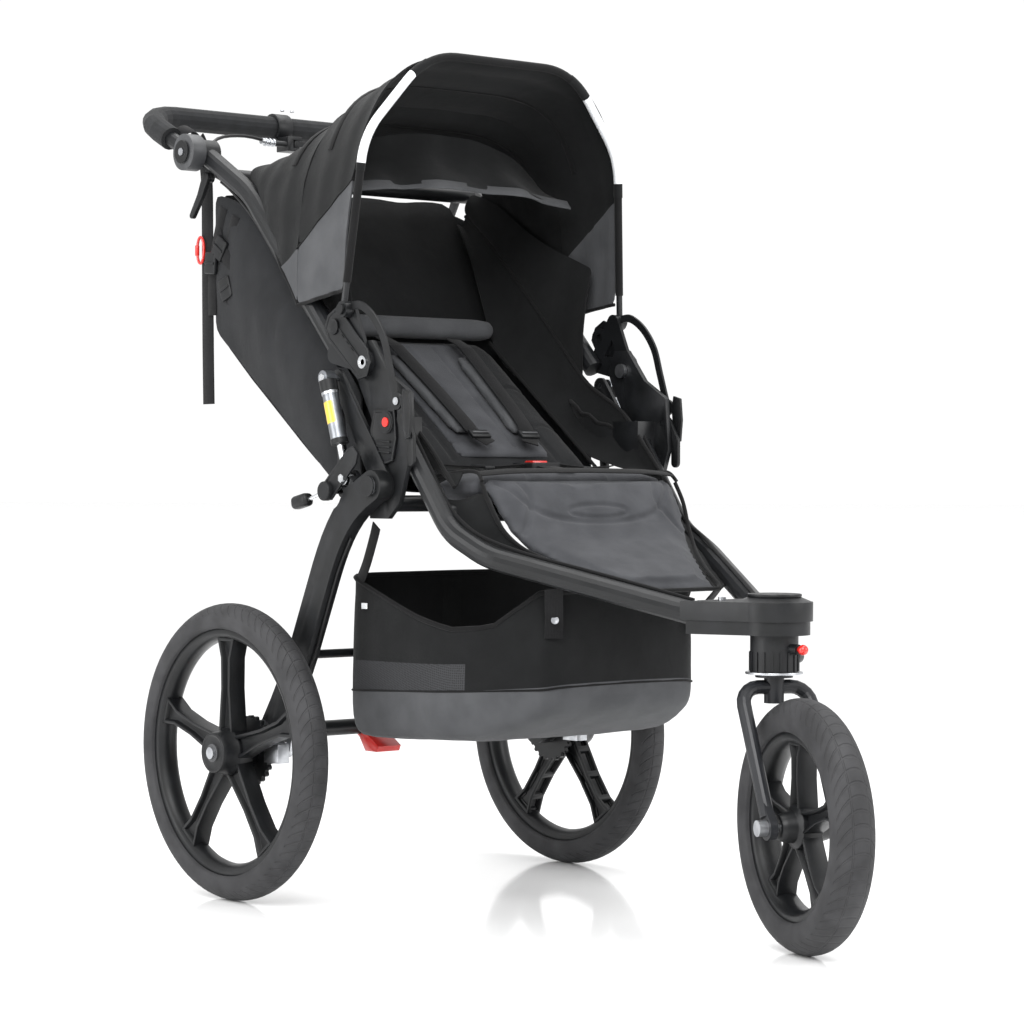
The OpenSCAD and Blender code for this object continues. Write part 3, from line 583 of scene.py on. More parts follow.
def mirrored(piece, name, body=None):
    twin = piece.copy()
    twin.data = piece.data.copy()
    for key in list(twin.keys()):
        del twin[key]
    scene.collection.objects.link(twin)
    twin.data.transform(Matrix.Scale(-1, 4, (1, 0, 0)))
    twin.data.flip_normals()
    twin.name = name
    if body:
        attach(twin, body)
    return twin

# wheels
print("wheels")


def treadMaterial(name, crown, light, dark):
    # moulded tread: arcs every 17 mm crossed by two rain grooves, over the same rubber; crown is half the
    # tread width
    material = tyreRubber(name, light, dark)
    tree = material.node_tree
    shader = tree.nodes["Principled BSDF"]
    where = next(n for n in tree.nodes if n.bl_idname == "ShaderNodeTexCoord")
    parts = addNode(tree, "ShaderNodeSeparateXYZ", links={"Vector": where.outputs["UV"]})
    away = addNode(tree, "ShaderNodeMath", settings={"operation": "ABSOLUTE"}, links={0: parts.outputs["X"]})
    bow = addNode(tree, "ShaderNodeMath", settings={"operation": "MULTIPLY"},
                  links={0: away.outputs["Value"], 1: away.outputs["Value"]})
    lean = addNode(tree, "ShaderNodeMath", settings={"operation": "MULTIPLY_ADD"}, inputs={1: 26.0},
                   links={0: bow.outputs["Value"], 2: parts.outputs["Y"]})
    turns = addNode(tree, "ShaderNodeMath", settings={"operation": "MULTIPLY"},
                    inputs={1: 2 * math.pi / 0.017}, links={0: lean.outputs["Value"]})
    wave = addNode(tree, "ShaderNodeMath", settings={"operation": "SINE"}, links={0: turns.outputs["Value"]})
    cut = addNode(tree, "ShaderNodeMapRange", inputs={"From Min": -0.95, "From Max": -0.7},
                  links={"Value": wave.outputs["Value"]})
    ring = addNode(tree, "ShaderNodeMath", settings={"operation": "SUBTRACT"}, inputs={1: crown * 0.36},
                   links={0: away.outputs["Value"]})
    ringAway = addNode(tree, "ShaderNodeMath", settings={"operation": "ABSOLUTE"},
                       links={0: ring.outputs["Value"]})
    groove = addNode(tree, "ShaderNodeMapRange", inputs={"From Min": 0.0006, "From Max": 0.0014},
                     links={"Value": ringAway.outputs["Value"]})
    both = addNode(tree, "ShaderNodeMath", settings={"operation": "MINIMUM"},
                   links={0: cut.outputs["Result"], 1: groove.outputs["Result"]})
    wall = addNode(tree, "ShaderNodeMapRange", inputs={"From Min": crown, "From Max": crown * 1.06},
                   links={"Value": away.outputs["Value"]})
    height = addNode(tree, "ShaderNodeMath", settings={"operation": "MAXIMUM"},
                     links={0: both.outputs["Value"], 1: wall.outputs["Result"]})
    old = next(n for n in tree.nodes if n.bl_idname == "ShaderNodeBump")
    addBump(tree, shader, height.outputs["Value"], 0.9, 0.0016, old)
    return material


def wheelPlace(piece, centre, turn=0.0):
    piece.rotation_euler = (0, 0, turn)
    piece.location = centre
    return piece


def buildTyre(name, s, body, cadNode):
    half, mid = s["width"] / 2, s["radius"] - s["width"] / 2
    profile = [(half * math.sin(math.radians(a)), mid + half * math.cos(math.radians(a)))
               for a in range(-120, 121, 10)]
    piece = lathe(name, profile, s["material"], 96)
    layer = piece.data.uv_layers.new(name="tread")
    for face in piece.data.polygons:
        angles = [math.atan2(piece.data.vertices[v].co.y, piece.data.vertices[v].co.z) for v in face.vertices]
        wrap = max(angles) - min(angles) > math.pi
        for loop, v, angle in zip(face.loop_indices, face.vertices, angles):
            co = piece.data.vertices[v].co
            lean = math.atan2(co.x, math.hypot(co.y, co.z) - mid)
            layer.data[loop].uv = (lean * half,
                                   (angle + (2 * math.pi if wrap and angle < 0 else 0)) * s["radius"])
    pick(piece)
    bpy.ops.object.shade_smooth()
    wheelPlace(piece, s["centre"], s["turn"])
    finishPiece(piece, name, s["material"], body, None)
    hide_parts(cadNode)
    return piece


def buildSpoke(s):
    # a tapered web with a sunk channel on both faces
    w, r0, r1 = s["spokeWidth"], s["hub"] * 0.75, s["rim"] - 0.0125
    outline = [(-w * 0.95, r0), (w * 0.95, r0), (w * 0.8, r0 + (r1 - r0) * 0.2),
               (w * 0.58, r0 + (r1 - r0) * 0.5), (w * 0.62, r0 + (r1 - r0) * 0.8), (w * 1.1, r1),
               (-w * 1.1, r1), (-w * 0.62, r0 + (r1 - r0) * 0.8), (-w * 0.58, r0 + (r1 - r0) * 0.5),
               (-w * 0.8, r0 + (r1 - r0) * 0.2)]
    t = s["spokeDepth"] / 2
    points = [(-t, y, z) for y, z in outline] + [(t, y, z) for y, z in outline]
    n = len(outline)
    faces = [tuple(range(n - 1, -1, -1)), tuple(range(n, 2 * n))] + [(k, (k + 1) % n, n + (k + 1) % n,
            n + k) for k in range(n)]
    piece = meshPiece("spoke", points, faces)
    fixNormals(piece)
    for face in piece.data.polygons:
        face.select = abs(face.normal.x) > 0.9
    pick(piece)
    bpy.ops.object.mode_set(mode="EDIT")
    bpy.ops.mesh.select_mode(type="FACE")
    bpy.ops.mesh.inset(thickness=w * 0.24, depth=0, use_individual=True)
    bpy.ops.mesh.inset(thickness=0.0012, depth=-t * 0.55, use_individual=True)
    bpy.ops.object.mode_set(mode="OBJECT")
    bevelEdges(piece, 0.0011, 2, 25)
    return piece


def toothedRing(radius, teeth, depth, x0, x1, hole):
    points, faces, n = [], [], teeth * 4
    for x in (x0, x1):
        for k in range(n):
            r = radius if k % 4 in (0, 1) else radius - depth
            a = 2 * math.pi * (k + (0.25 if k % 4 in (1, 3) else 0)) / n
            points.append((x, r * math.sin(a), r * math.cos(a)))
        for k in range(n):
            a = 2 * math.pi * k / n
            points.append((x, hole * math.sin(a), hole * math.cos(a)))
    for k in range(n):
        j = (k + 1) % n
        faces += [(k, j, n + j, n + k), (2 * n + k, 3 * n + k, 3 * n + j, 2 * n + j),
                  (k, 2 * n + k, 2 * n + j, j), (n + k, n + j, 3 * n + j, 3 * n + k)]
    piece = meshPiece("toothedRing", points, faces)
    fixNormals(piece)
    return piece


def buildWheel(name, s, body, cadNode):
    rim, half = s["rim"], s["width"] * 0.36
    profile = [(-half, rim), (-half, rim - 0.007), (-half * 0.86, rim - 0.0105),
               (-half * 0.5, rim - 0.0145), (0, rim - 0.016), (half * 0.5, rim - 0.0145),
               (half * 0.86, rim - 0.0105), (half, rim - 0.007), (half, rim), (half * 0.8, rim),
               (half * 0.62, rim - 0.005), (-half * 0.62, rim - 0.005), (-half * 0.8, rim)]
    parts = [lathe("rimRing", profile, s["material"], 96)]
    bevelEdges(parts[0], 0.0008, 2, 25)
    parts.append(lathe("hubBarrel", s["hubProfile"], s["material"], 56))
    bevelEdges(parts[1], 0.0008, 2, 25)
    first = buildSpoke(s)
    for k in range(5):
        spoke = first if k == 0 else first.copy()
        if k:
            spoke.data = first.data.copy()
            scene.collection.objects.link(spoke)
            spoke.data.transform(Matrix.Rotation(math.radians(72 * k), 4, "X"))
        parts.append(spoke)
    if s.get("ring"):
        parts.append(toothedRing(*s["ring"]))
        bevelEdges(parts[-1], 0.0004, 1, 40)
    deselect()
    for part in parts:
        part.select_set(True)
    bpy.context.view_layer.objects.active = parts[0]
    bpy.ops.object.join()
    piece = parts[0]
    if s["flip"]:
        piece.data.transform(Matrix.Scale(-1, 4, (1, 0, 0)))
        piece.data.flip_normals()
    wheelPlace(piece, s["centre"], s["turn"])
    finishPiece(piece, name, s["material"], body, 32)
    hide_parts(cadNode)
    return piece


rearHub = [(-0.037, 0.0065), (-0.037, 0.019), (-0.030, 0.0215), (-0.014, 0.0235), (-0.012, 0.031),
           (0.010, 0.033), (0.016, 0.030), (0.026, 0.0285), (0.0335, 0.0270), (0.0340, 0.0245),
           (0.0325, 0.0225), (0.0325, 0.0125), (0.0340, 0.0115), (0.0340, 0.0088), (0.0245, 0.0088),
           (0.0245, 0.0065)]
frontHub = [(-0.035, 0.0055), (-0.035, 0.015), (-0.028, 0.018), (-0.016, 0.0195), (-0.013, 0.027),
            (0.013, 0.027), (0.016, 0.0195), (0.028, 0.018), (0.035, 0.015), (0.035, 0.0055)]
treadRear = treadMaterial("treadRubberRear", 0.027, "#2a2a2c", "#1b1b1d")
treadFront = treadMaterial("treadRubberFront", 0.031, "#2a2a2c", "#1b1b1d")
steerTurn = math.radians(-20)
trail, frontRadius = 0.085, 0.156
frontCentre = (trail * math.sin(steerTurn), side["steerY"] - trail * math.cos(steerTurn), frontRadius)
for sign, sideName in ((1, "left"), (-1, "right")):
    centre = (sign * side["wheelX"], side["axle"][0], side["axle"][1])
    rear = {"width": 0.046, "radius": 0.203, "rim": 0.1682, "hub": 0.024, "spokeWidth": 0.0175,
            "spokeDepth": 0.026, "hubProfile": rearHub, "ring": (0.048, 24, 0.004, -0.0355, -0.0285, 0.020),
            "material": mats["wheelNylon"], "centre": centre, "turn": 0.0, "flip": sign < 0}
    buildWheel("rear_rim_" + sideName, rear, "rear_wheel_" + sideName, "rear_wheel_" + sideName)
    buildTyre("rear_tread_" + sideName, dict(rear, material=treadRear), "rear_wheel_" + sideName,
              "rear_tyre_" + sideName)
    disc("axle_cap_ring_" + sideName, 0.0125, 0.0012, (centre[0] + sign * 0.0341, centre[1], centre[2]),
         mats["greyNylon"], "rear_wheel_" + sideName, width=0.0004, inset=(0.72, 0.0008))
front = {"width": 0.054, "radius": frontRadius, "rim": 0.1152, "hub": 0.020, "spokeWidth": 0.0150,
         "spokeDepth": 0.027, "hubProfile": frontHub, "material": mats["wheelNylon"], "centre": frontCentre,
         "turn": steerTurn, "flip": False}
buildWheel("front_rim", front, "front_wheel", "front_wheel")
buildTyre("front_tread", dict(front, material=treadFront), "front_wheel", "front_tyre")

# frame, hinge and nose
print("frame details")
for nodeName, material, width, segments in (("swingarm_left", "cast", 0.0035, 3),
                                            ("swingarm_right", "cast", 0.0035, 3),
                                            ("hinge_plate_left", "cast", 0.0012, 2),
                                            ("hinge_plate_right", "cast", 0.0012, 2),
                                            ("nose_cover", "cast", 0.0055, 4), ("carrier_plates", "cast",
        0.0009, 2), ("release_lever_left", "nylon", 0.0012, 2), ("release_lever_right", "nylon", 0.0012, 2),
                                            ("parking_pedal", "red", 0.0018, 2), ("handle_latches", "nylon",
        0.0010, 2), ("brake_lever", "nylon", 0.0012, 2), ("handle_pivots", "greyNylon", 0.0030, 3),
                                            ("harness_buckle", "nylon", 0.0025, 3),
                                            ("buckle_button", "red", 0.0016, 2),
                                            ("tracking_knob", "greyNylon", 0.0014, 2),
                                            ("shock_knobs", "nylon", 0.0022, 3), ("brake_calipers", "alloy",
        0.0009, 2), ("axle_lever", "nylon", 0.0016, 2), ("brake_lever_mount", "cast", 0.0014, 2)):
    soften(nodeName, mats[material], width, segments)


def sidePlate(name, outline, x0, x1, material, body, border=0.003, sink=0.0012, bevel=0.0008):
    # outline of (y, z) points in millimetres, with a sunk panel on its outer face
    points = [(x0, y / 1000, z / 1000) for y, z in outline] + [(x1, y / 1000, z / 1000) for y, z in outline]
    n = len(outline)
    faces = [tuple(range(n - 1, -1, -1)), tuple(range(n, 2 * n))] + [(k, (k + 1) % n, n + (k + 1) % n,
            n + k) for k in range(n)]
    piece = meshPiece(name, points, faces)
    fixNormals(piece)
    if border:
        for face in piece.data.polygons:
            face.select = face.normal.x > 0.9
        pick(piece)
        bpy.ops.object.mode_set(mode="EDIT")
        bpy.ops.mesh.select_mode(type="FACE")
        bpy.ops.mesh.inset(thickness=border, depth=0)
        bpy.ops.mesh.inset(thickness=0.0004, depth=-sink)
        bpy.ops.object.mode_set(mode="OBJECT")
    bevelEdges(piece, bevel, 2, 30)
    return finishPiece(piece, name, material, body)


def bothSides(piece, body, otherBody=None):
    base = piece.name
    piece.name = base + "_left"
    return piece, mirrored(piece, base + "_right", otherBody or body)


hinge = {"upperRib": [(146, 800), (160, 806), (178, 796), (186, 778), (176, 762), (128, 722), (112, 708),
                      (92, 712), (84, 730), (92, 748), (118, 772)],
         "housing": [(40, 668), (84, 668), (92, 640), (86, 604), (66, 594), (44, 600), (36, 630)]}
print("hinge")
bothSides(sidePlate("hinge_rib", hinge["upperRib"], 0.2396, 0.2432, mats["nylon"], "upper_frame", 0.0035,
                    0.0016), "upper_frame")
for k, (y, z) in enumerate(((118, 744), (128, 753), (138, 762), (148, 771))):
    rib = roundBlock("hinge_cross_rib_%d" % k, (0.0022, 0.0034, 0.022), (0.2420, y / 1000, z / 1000),
                     (-47, 0, 0), 0.0008, mats["nylon"], "upper_frame")
    bothSides(rib, "upper_frame")
bothSides(sidePlate("button_housing", hinge["housing"], 0.2335, 0.2376, mats["nylon"], "main_frame", 0.0035,
                    0.0014), "main_frame")
for k, z in enumerate((0.612, 0.619, 0.626)):
    bothSides(roundBlock("housing_rib_%d" % k, (0.0014, 0.030, 0.0024), (0.2376, 0.064, z), (4, 0, 0),
                         0.0005, mats["nylon"], "main_frame"), "main_frame")
bothSides(disc("button_bezel", 0.0135, 0.0016, (0.2398, *side["button"]), mats["nylon"], "main_frame",
               width=0.0005, inset=(0.54, 0.0016)), "main_frame")
bothSides(disc("fold_bolt", 0.0088, 0.0036, (0.2416, *side["foldPin"]), mats["chrome"], "main_frame",
               width=0.0009, inset=(0.45, 0.0018)), "main_frame")
bothSides(disc("swing_cap", 0.0145, 0.0030, (0.2655, *side["swingPin"]), mats["nylon"], "main_frame",
               width=0.0010, inset=(0.6, 0.0008)), "main_frame")
bothSides(disc("socket_collar", 0.0105, 0.0022, (0.2441, *side["socket"]), mats["nylon"], "upper_frame",
               width=0.0005, inset=(0.70, 0.0021)), "upper_frame")


def archBar(name, route, section, x, material, body):
    path = smoothPath([(x, y / 1000, z / 1000) for y, z in route], 6)
    return sweep(name, path, section, material, body, up=(1, 0, 0))


hook = archBar("hinge_hook", [(124, 806), (104, 806), (78, 790), (56, 762), (44, 728), (34, 698),
                              (26, 676)], [(-0.0050, -0.0018), (0.0050, -0.0018), (0.0058, 0),
                                           (0.0050, 0.0018), (-0.0050, 0.0018), (-0.0058, 0)], 0.2428,
               mats["nylon"], "upper_frame")
bothSides(hook, "upper_frame")
bothSides(disc("hook_boss", 0.0115, 0.0042, (0.2432, 0.027, 0.678), mats["nylon"], "upper_frame",
               width=0.0010, inset=(0.62, 0.0012)), "upper_frame")
bothSides(disc("hook_slot", 0.0052, 0.0012, (0.2455, 0.027, 0.678), mats["alloy"], "upper_frame",
               width=0.0004, inset=(0.5, 0.0006)), "upper_frame")
bothSides(sidePlate("hook_pad", [(0, 690), (14, 694), (17, 676), (14, 640), (8, 628), (0, 630), (-3, 660)],
                    0.2408, 0.2446, mats["nylon"], "upper_frame", 0.0026, 0.0010), "upper_frame")
bothSides(sidePlate("stud_link", [(158, 548), (142, 548), (88, 596), (84, 610), (94, 620), (106, 616),
                                  (164, 566)], 0.2612, 0.2646, mats["cast"], "rear_carrier", 0.0028,
                    0.0010), "rear_carrier")
stud = tube("clamp_stud", [(0.2690, 0.150, 0.560), (0.2690, 0.172, 0.552), (0.2690, 0.190, 0.548)], 0.0028,
            mats["chrome"], "rear_carrier", 4)
bothSides(stud, "rear_carrier")
bothSides(roundBlock("clamp_knob", (0.018, 0.034, 0.018), (0.2690, 0.200, 0.546), (-12, 0, 0), 0.0065,
                     mats["nylon"], "rear_carrier", 4), "rear_carrier")

shock = {"top": Vector((side["shockX"], *side["shockTop"])),
         "low": Vector((side["shockX"], *side["shockLow"]))}
along = (shock["low"] - shock["top"]).normalized()
for k, (a, b, r, key) in enumerate(((0.004, 0.020, 0.0122, "nylon"), (0.020, 0.024, 0.0118, "alloy"),
                                    (0.086, 0.093, 0.0120, "nylon"))):
    collar = sweep("shock_collar_%d" % k,
                   [shock["top"] + along * a, shock["top"] + along * (a + (b - a) * 0.1),
                    shock["top"] + along * (b - (b - a) * 0.1), shock["top"] + along * b],
                   roundSection(r, 28), mats[key], "shock_cylinders", up=(1, 0, 0))
    bothSides(collar, "shock_cylinders")
label = [shock["top"] + along * (0.034 + 0.030 * i / 8) for i in range(9)]
patchRows = []
for p in label:
    row = []
    for k in range(9):
        a = math.radians(-55 + 110 * k / 8)
        out = Vector((math.cos(a), 0, 0)) + Vector((0, along.z, -along.y)) * -math.sin(a)
        row.append(p + out * 0.01125)
    patchRows.append(row)
patch = clothSheet("shock_patch", patchRows, mats["yellow"], 0.0003, 1)
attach(patch, "shock_cylinders")
bothSides(patch, "shock_cylinders")
for k, (spot, body) in enumerate(((side["shockTop"], "shock_cylinders"), (side["shockLow"], "swingarm"))):
    bothSides(disc("shock_bolt_%d" % k, 0.0062, 0.003, (0.2650, *spot), mats["chrome"], body, width=0.0006,
                   sides=6, inset=(0.5, 0.0010)), body)

# trim cord along the top of the lower tubes
trim = tube("tube_trim", [(0.2075, 0.052, 0.657), (0.2055, 0.006, 0.594), (0.2035, -0.028, 0.546),
                          (0.1985, -0.062, 0.516), (0.1905, -0.100, 0.498), (0.1660, -0.150, 0.480),
                          (0.1290, -0.214, 0.462), (0.0880, -0.284, 0.442), (0.0560, -0.338, 0.426)],
            0.0026, mats["binding"], "main_frame", 6, 8)
bothSides(trim, "main_frame")

nose = {"bolt": (0.0, -0.438, 0.4338), "washer": 0.036}
disc("nose_bolt", 0.0085, 0.004, nose["bolt"], mats["nylon"], "main_frame", "Z", 0.0012, 32, (0.5, 0.002))
disc("nose_dome_ring", 0.034, 0.005, (0, -0.423, 0.4338), mats["cast"], "main_frame", "Z", 0.0018, 64,
     (0.86, 0.0012))
disc("stem_washer", nose["washer"], 0.003, (0, -0.423, 0.3375), mats["alloy"], "main_frame", "Z", 0.0006, 64)

sweep("barrel_adjuster", [(-0.034, 0.593, 1.078), (-0.040, 0.593, 1.0785), (-0.046, 0.593, 1.079),
                          (-0.058, 0.5925, 1.080)], roundSection(0.0048, 14), mats["alloy"], "handlebar",
      up=(0, 0, 1))
for k, x in enumerate((-0.036, -0.043, -0.050)):
    disc("adjuster_ring_%d" % k, 0.0062, 0.0030, (x, 0.593, 1.0787), mats["alloy"], "handlebar", "X",
         0.0005, 20)
for k, x in enumerate((-0.009, 0.009)):
    disc("clamp_screw_%d" % k, 0.0030, 0.003, (x, 0.607, 1.1302), mats["alloy"], "handlebar", "Z", 0.0005,
         20, (0.5, 0.001))
for sign, sideName in ((1, "left"), (-1, "right")):
    disc("pivot_cap_" + sideName, 0.0165, 0.0024,
         (sign * 0.2652, side["handlePin"][0], side["handlePin"][1]), mats["nylon"], "handlebar",
         (sign, 0, 0), 0.0008, 40, (0.6, 0.0008))
    disc("pivot_screw_" + sideName, 0.0055, 0.0020,
         (sign * 0.2664, side["handlePin"][0], side["handlePin"][1]), mats["alloy"], "handlebar",
         (sign, 0, 0), 0.0005, 24, (0.5, 0.0008))
    disc("axle_nut_" + sideName, 0.0096, 0.006,
         tuple(Vector(frontCentre) + Matrix.Rotation(steerTurn, 3, "Z") @ Vector((sign * 0.0585, 0, 0))),
         mats["chrome"], "fork", tuple(Matrix.Rotation(steerTurn, 3, "Z") @ Vector((sign, 0, 0))), 0.0008,
         6, (0.6, 0.0008))

# padded pieces
print("padded pieces")


def cloneBlock(name, rows):
    # closed form lofted from rows of rings, each ring a list of points
    high, ring = len(rows), len(rows[0])
    points = [p for row in rows for p in row]
    faces = [tuple(range(ring - 1, -1, -1)), tuple((high - 1) * ring + k for k in range(ring))]
    for i in range(high - 1):
        for k in range(ring):
            j = (k + 1) % ring
            faces.append((i * ring + k, i * ring + j, (i + 1) * ring + j, (i + 1) * ring + k))
    piece = meshPiece(name, points, faces)
    fixNormals(piece)
    return piece


def inflate(piece, cap, voxel=0.006, pressure=4.0):
    # cloth swelling from a slightly smaller shape, each point's move capped
    applyModifier(piece, "REMESH", mode="VOXEL", voxel_size=voxel)
    start = [v.co.copy() for v in piece.data.vertices]
    pick(piece)
    bpy.ops.object.modifier_add(type="CLOTH")
    cloth = piece.modifiers[-1]
    cloth.settings.quality = 3
    cloth.settings.mass = 0.2
    cloth.settings.tension_stiffness = 14
    cloth.settings.compression_stiffness = 14
    cloth.settings.bending_stiffness = 0.6
    cloth.settings.use_pressure = True
    cloth.settings.uniform_pressure_force = pressure
    cloth.settings.effector_weights.gravity = 0.0
    cloth.collision_settings.use_collision = False
    for step in range(1, 21):
        scene.frame_set(step)
    bpy.ops.object.modifier_apply(modifier=cloth.name)
    scene.frame_set(1)
    for vertex, old in zip(piece.data.vertices, start):
        move = vertex.co - old
        if move.length > cap:
            vertex.co = old + move * (cap / move.length)
    applyModifier(piece, "SUBSURF", levels=1, render_levels=1)
    return piece


def pressLine(piece, route, width, depth, side):
    # a sewn channel: points near the route, on the faces that look towards side, go in
    path = smoothPath(route, 5)
    look = Vector(side).normalized()

    def flatten(v):
        return v - look * v.dot(look)

    ends = [flatten(p) for p in path]
    low = [min(p[i] for p in path) - 0.03 for i in range(3)]
    high = [max(p[i] for p in path) + 0.03 for i in range(3)]
    moves = []
    for vertex in piece.data.vertices:
        co = vertex.co
        if not all(low[i] < co[i] < high[i] for i in range(3)) or vertex.normal.dot(look) < 0.25:
            continue
        here = flatten(co)
        best = 9.0
        for a, b in zip(ends, ends[1:]):
            ab = b - a
            t = max(0.0, min(1.0, (here - a).dot(ab) / max(ab.length_squared, 1e-12)))
            best = min(best, (here - a - ab * t).length)
        if best < width:
            moves.append((vertex, depth * (0.5 + 0.5 * math.cos(math.pi * best / width))))
    for vertex, amount in moves:
        vertex.co -= look * amount


def boxUv(piece):
    # a woven pattern along the piece: across is X, along follows the slope of the pad
    layer = piece.data.uv_layers.new(name="cloth")
    for face in piece.data.polygons:
        n = face.normal
        for loop, v in zip(face.loop_indices, face.vertices):
            co = piece.data.vertices[v].co
            if abs(n.x) > 0.7:
                layer.data[loop].uv = (co.y, co.z)
            elif abs(n.z) > 0.55:
                layer.data[loop].uv = (co.x, co.y * 1.2)
            else:
                layer.data[loop].uv = (co.x, co.z * 1.2)


def padPiece(piece, name, material, body):
    boxUv(piece)
    finishPiece(piece, name, material, body, None)
    pick(piece)
    bpy.ops.object.shade_smooth()
    return piece


def ringAt(centre, across, out, halfWide, halfThick, round=0.45, count=20):
    # a rounded oblong ring about a centre
    result = []
    for k in range(count):
        a = 2 * math.pi * (k + 0.5) / count
        c, s = math.cos(a), math.sin(a)
        result.append(Vector(centre) + Vector(across) * halfWide * math.copysign(abs(c) ** round,
                c) + Vector(out) * halfThick * math.copysign(abs(s) ** round, s))
    return result


tilt = math.radians(side["backTilt"])
backUp = Vector((0, math.cos(tilt), math.sin(tilt)))
backOut = Vector((0, -math.sin(tilt), math.cos(tilt)))
crease = Vector((0, side["crease"][0], side["crease"][1]))
xAxis = Vector((1, 0, 0))

rows = []
for y, z, thick, half in ((-0.046, 0.5665, 0.0165, 0.170), (-0.030, 0.5655, 0.0175, 0.174),
                          (0.0, 0.5645, 0.0170, 0.175), (0.030, 0.5625, 0.0150, 0.174),
                          (0.055, 0.5600, 0.0120, 0.168)):
    rows.append(ringAt((0, y, z), xAxis, (0, 0, 1), half, thick))
cushion = inflate(cloneBlock("seat_pad", rows), 0.006, 0.0085)
for x in (-0.075, 0.075):
    pressLine(cushion, [(x, -0.05, 0.59), (x * 0.9, 0.0, 0.585), (x, 0.055, 0.58)], 0.006, 0.0035, (0, 0, 1))
padPiece(cushion, "seat_pad", mats["seat"], "main_frame")
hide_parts("seat_cushion")

# leg part: over the rim of the seat and down to the nose end
legProfile = [(-0.055, 0.5755, 0.0075, 0.168), (-0.066, 0.566, 0.0085, 0.170),
              (-0.080, 0.540, 0.0095, 0.168), (-0.096, 0.510, 0.0095, 0.160),
              (-0.118, 0.487, 0.0085, 0.148), (-0.150, 0.471, 0.0075, 0.130),
              (-0.190, 0.452, 0.0065, 0.110), (-0.228, 0.4345, 0.0055, 0.092)]
rows = []
for i, (y, z, thick, half) in enumerate(legProfile):
    a, b = legProfile[max(i - 1, 0)], legProfile[min(i + 1, len(legProfile) - 1)]
    run = Vector((0, b[0] - a[0], b[1] - a[1])).normalized()
    rows.append(ringAt((0, y, z), xAxis, (0, run.z, -run.y), half, thick))
legPad = inflate(cloneBlock("leg_pad", rows), 0.005, 0.0065)
legFace = Vector((0, -0.82, 0.57))
for route in ([(-0.150, -0.062, 0.57), (-0.100, -0.088, 0.525), (0.0, -0.094, 0.512),
               (0.100, -0.088, 0.525), (0.150, -0.062, 0.57)],
              [(-0.140, -0.100, 0.50), (-0.112, -0.080, 0.54), (-0.120, -0.064, 0.565)],
              [(0.140, -0.100, 0.50), (0.112, -0.080, 0.54), (0.120, -0.064, 0.565)]):
    pressLine(legPad, route, 0.007, 0.0032, legFace)
oval = [(0.052 * math.cos(a), -0.088 - 0.012 * math.sin(a), 0.528 + 0.020 * math.sin(a))
        for a in [2 * math.pi * k / 16 for k in range(17)]]
pressLine(legPad, oval, 0.005, 0.0026, legFace)
padPiece(legPad, "leg_pad", mats["seat"], "main_frame")
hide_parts("footrest_pad")


def onBack(u, x, out):
    return crease + backUp * u + xAxis * x + backOut * out


rows = []
for u, thick, half in ((0.006, 0.0115, 0.150), (0.020, 0.0135, 0.158), (0.10, 0.0135, 0.160),
                       (0.20, 0.0135, 0.160), (0.29, 0.0135, 0.158), (0.322, 0.0120, 0.150)):
    rows.append(ringAt(onBack(u, 0, 0), xAxis, backOut, half, thick))
backPad = inflate(cloneBlock("back_pad", rows), 0.006, 0.0085)
for x in (-0.094, 0.094):
    pressLine(backPad, [onBack(0.03, x, 0.02), onBack(0.16, x * 0.96, 0.02), onBack(0.30, x, 0.02)], 0.007,
              0.004, tuple(backOut))
for u in (0.10, 0.19):
    for s in (-1, 1):
        pressLine(backPad, [onBack(u, s * 0.094, 0.02), onBack(u + 0.010, s * 0.122, 0.02),
                            onBack(u + 0.004, s * 0.156, 0.02)], 0.005, 0.0028, tuple(backOut))
padPiece(backPad, "back_pad", mats["seatDark"], "backrest")

rows = []
for u, thick, half in ((0.028, 0.0030, 0.083), (0.10, 0.0050, 0.086), (0.20, 0.0055, 0.086),
                       (0.296, 0.0035, 0.082)):
    rows.append(ringAt(onBack(u, 0, 0.0195), xAxis, backOut, half, thick))
centrePad = inflate(cloneBlock("back_centre", rows), 0.0025, 0.0055)
for route in ([onBack(0.05, -0.024, 0.03), onBack(0.17, -0.022, 0.03), onBack(0.28, -0.024, 0.03)],
              [onBack(0.05, 0.024, 0.03), onBack(0.17, 0.022, 0.03), onBack(0.28, 0.024, 0.03)]):
    pressLine(centrePad, route, 0.005, 0.0028, tuple(backOut))
padPiece(centrePad, "back_centre", mats["seat"], "backrest")

rows = []
for k in range(13):
    x = -0.160 + 0.320 * k / 12
    end = 0.0135 if k in (0, 12) else 0.0168
    rows.append([onBack(0.325, x, 0.027) + backUp * end * math.cos(a) + backOut * end * math.sin(a)
                 for a in turnAngles(16)])
roll = inflate(cloneBlock("head_roll", rows), 0.003, 0.007)
padPiece(roll, "head_roll", mats["wedge"], "backrest")
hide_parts("backrest_pad")

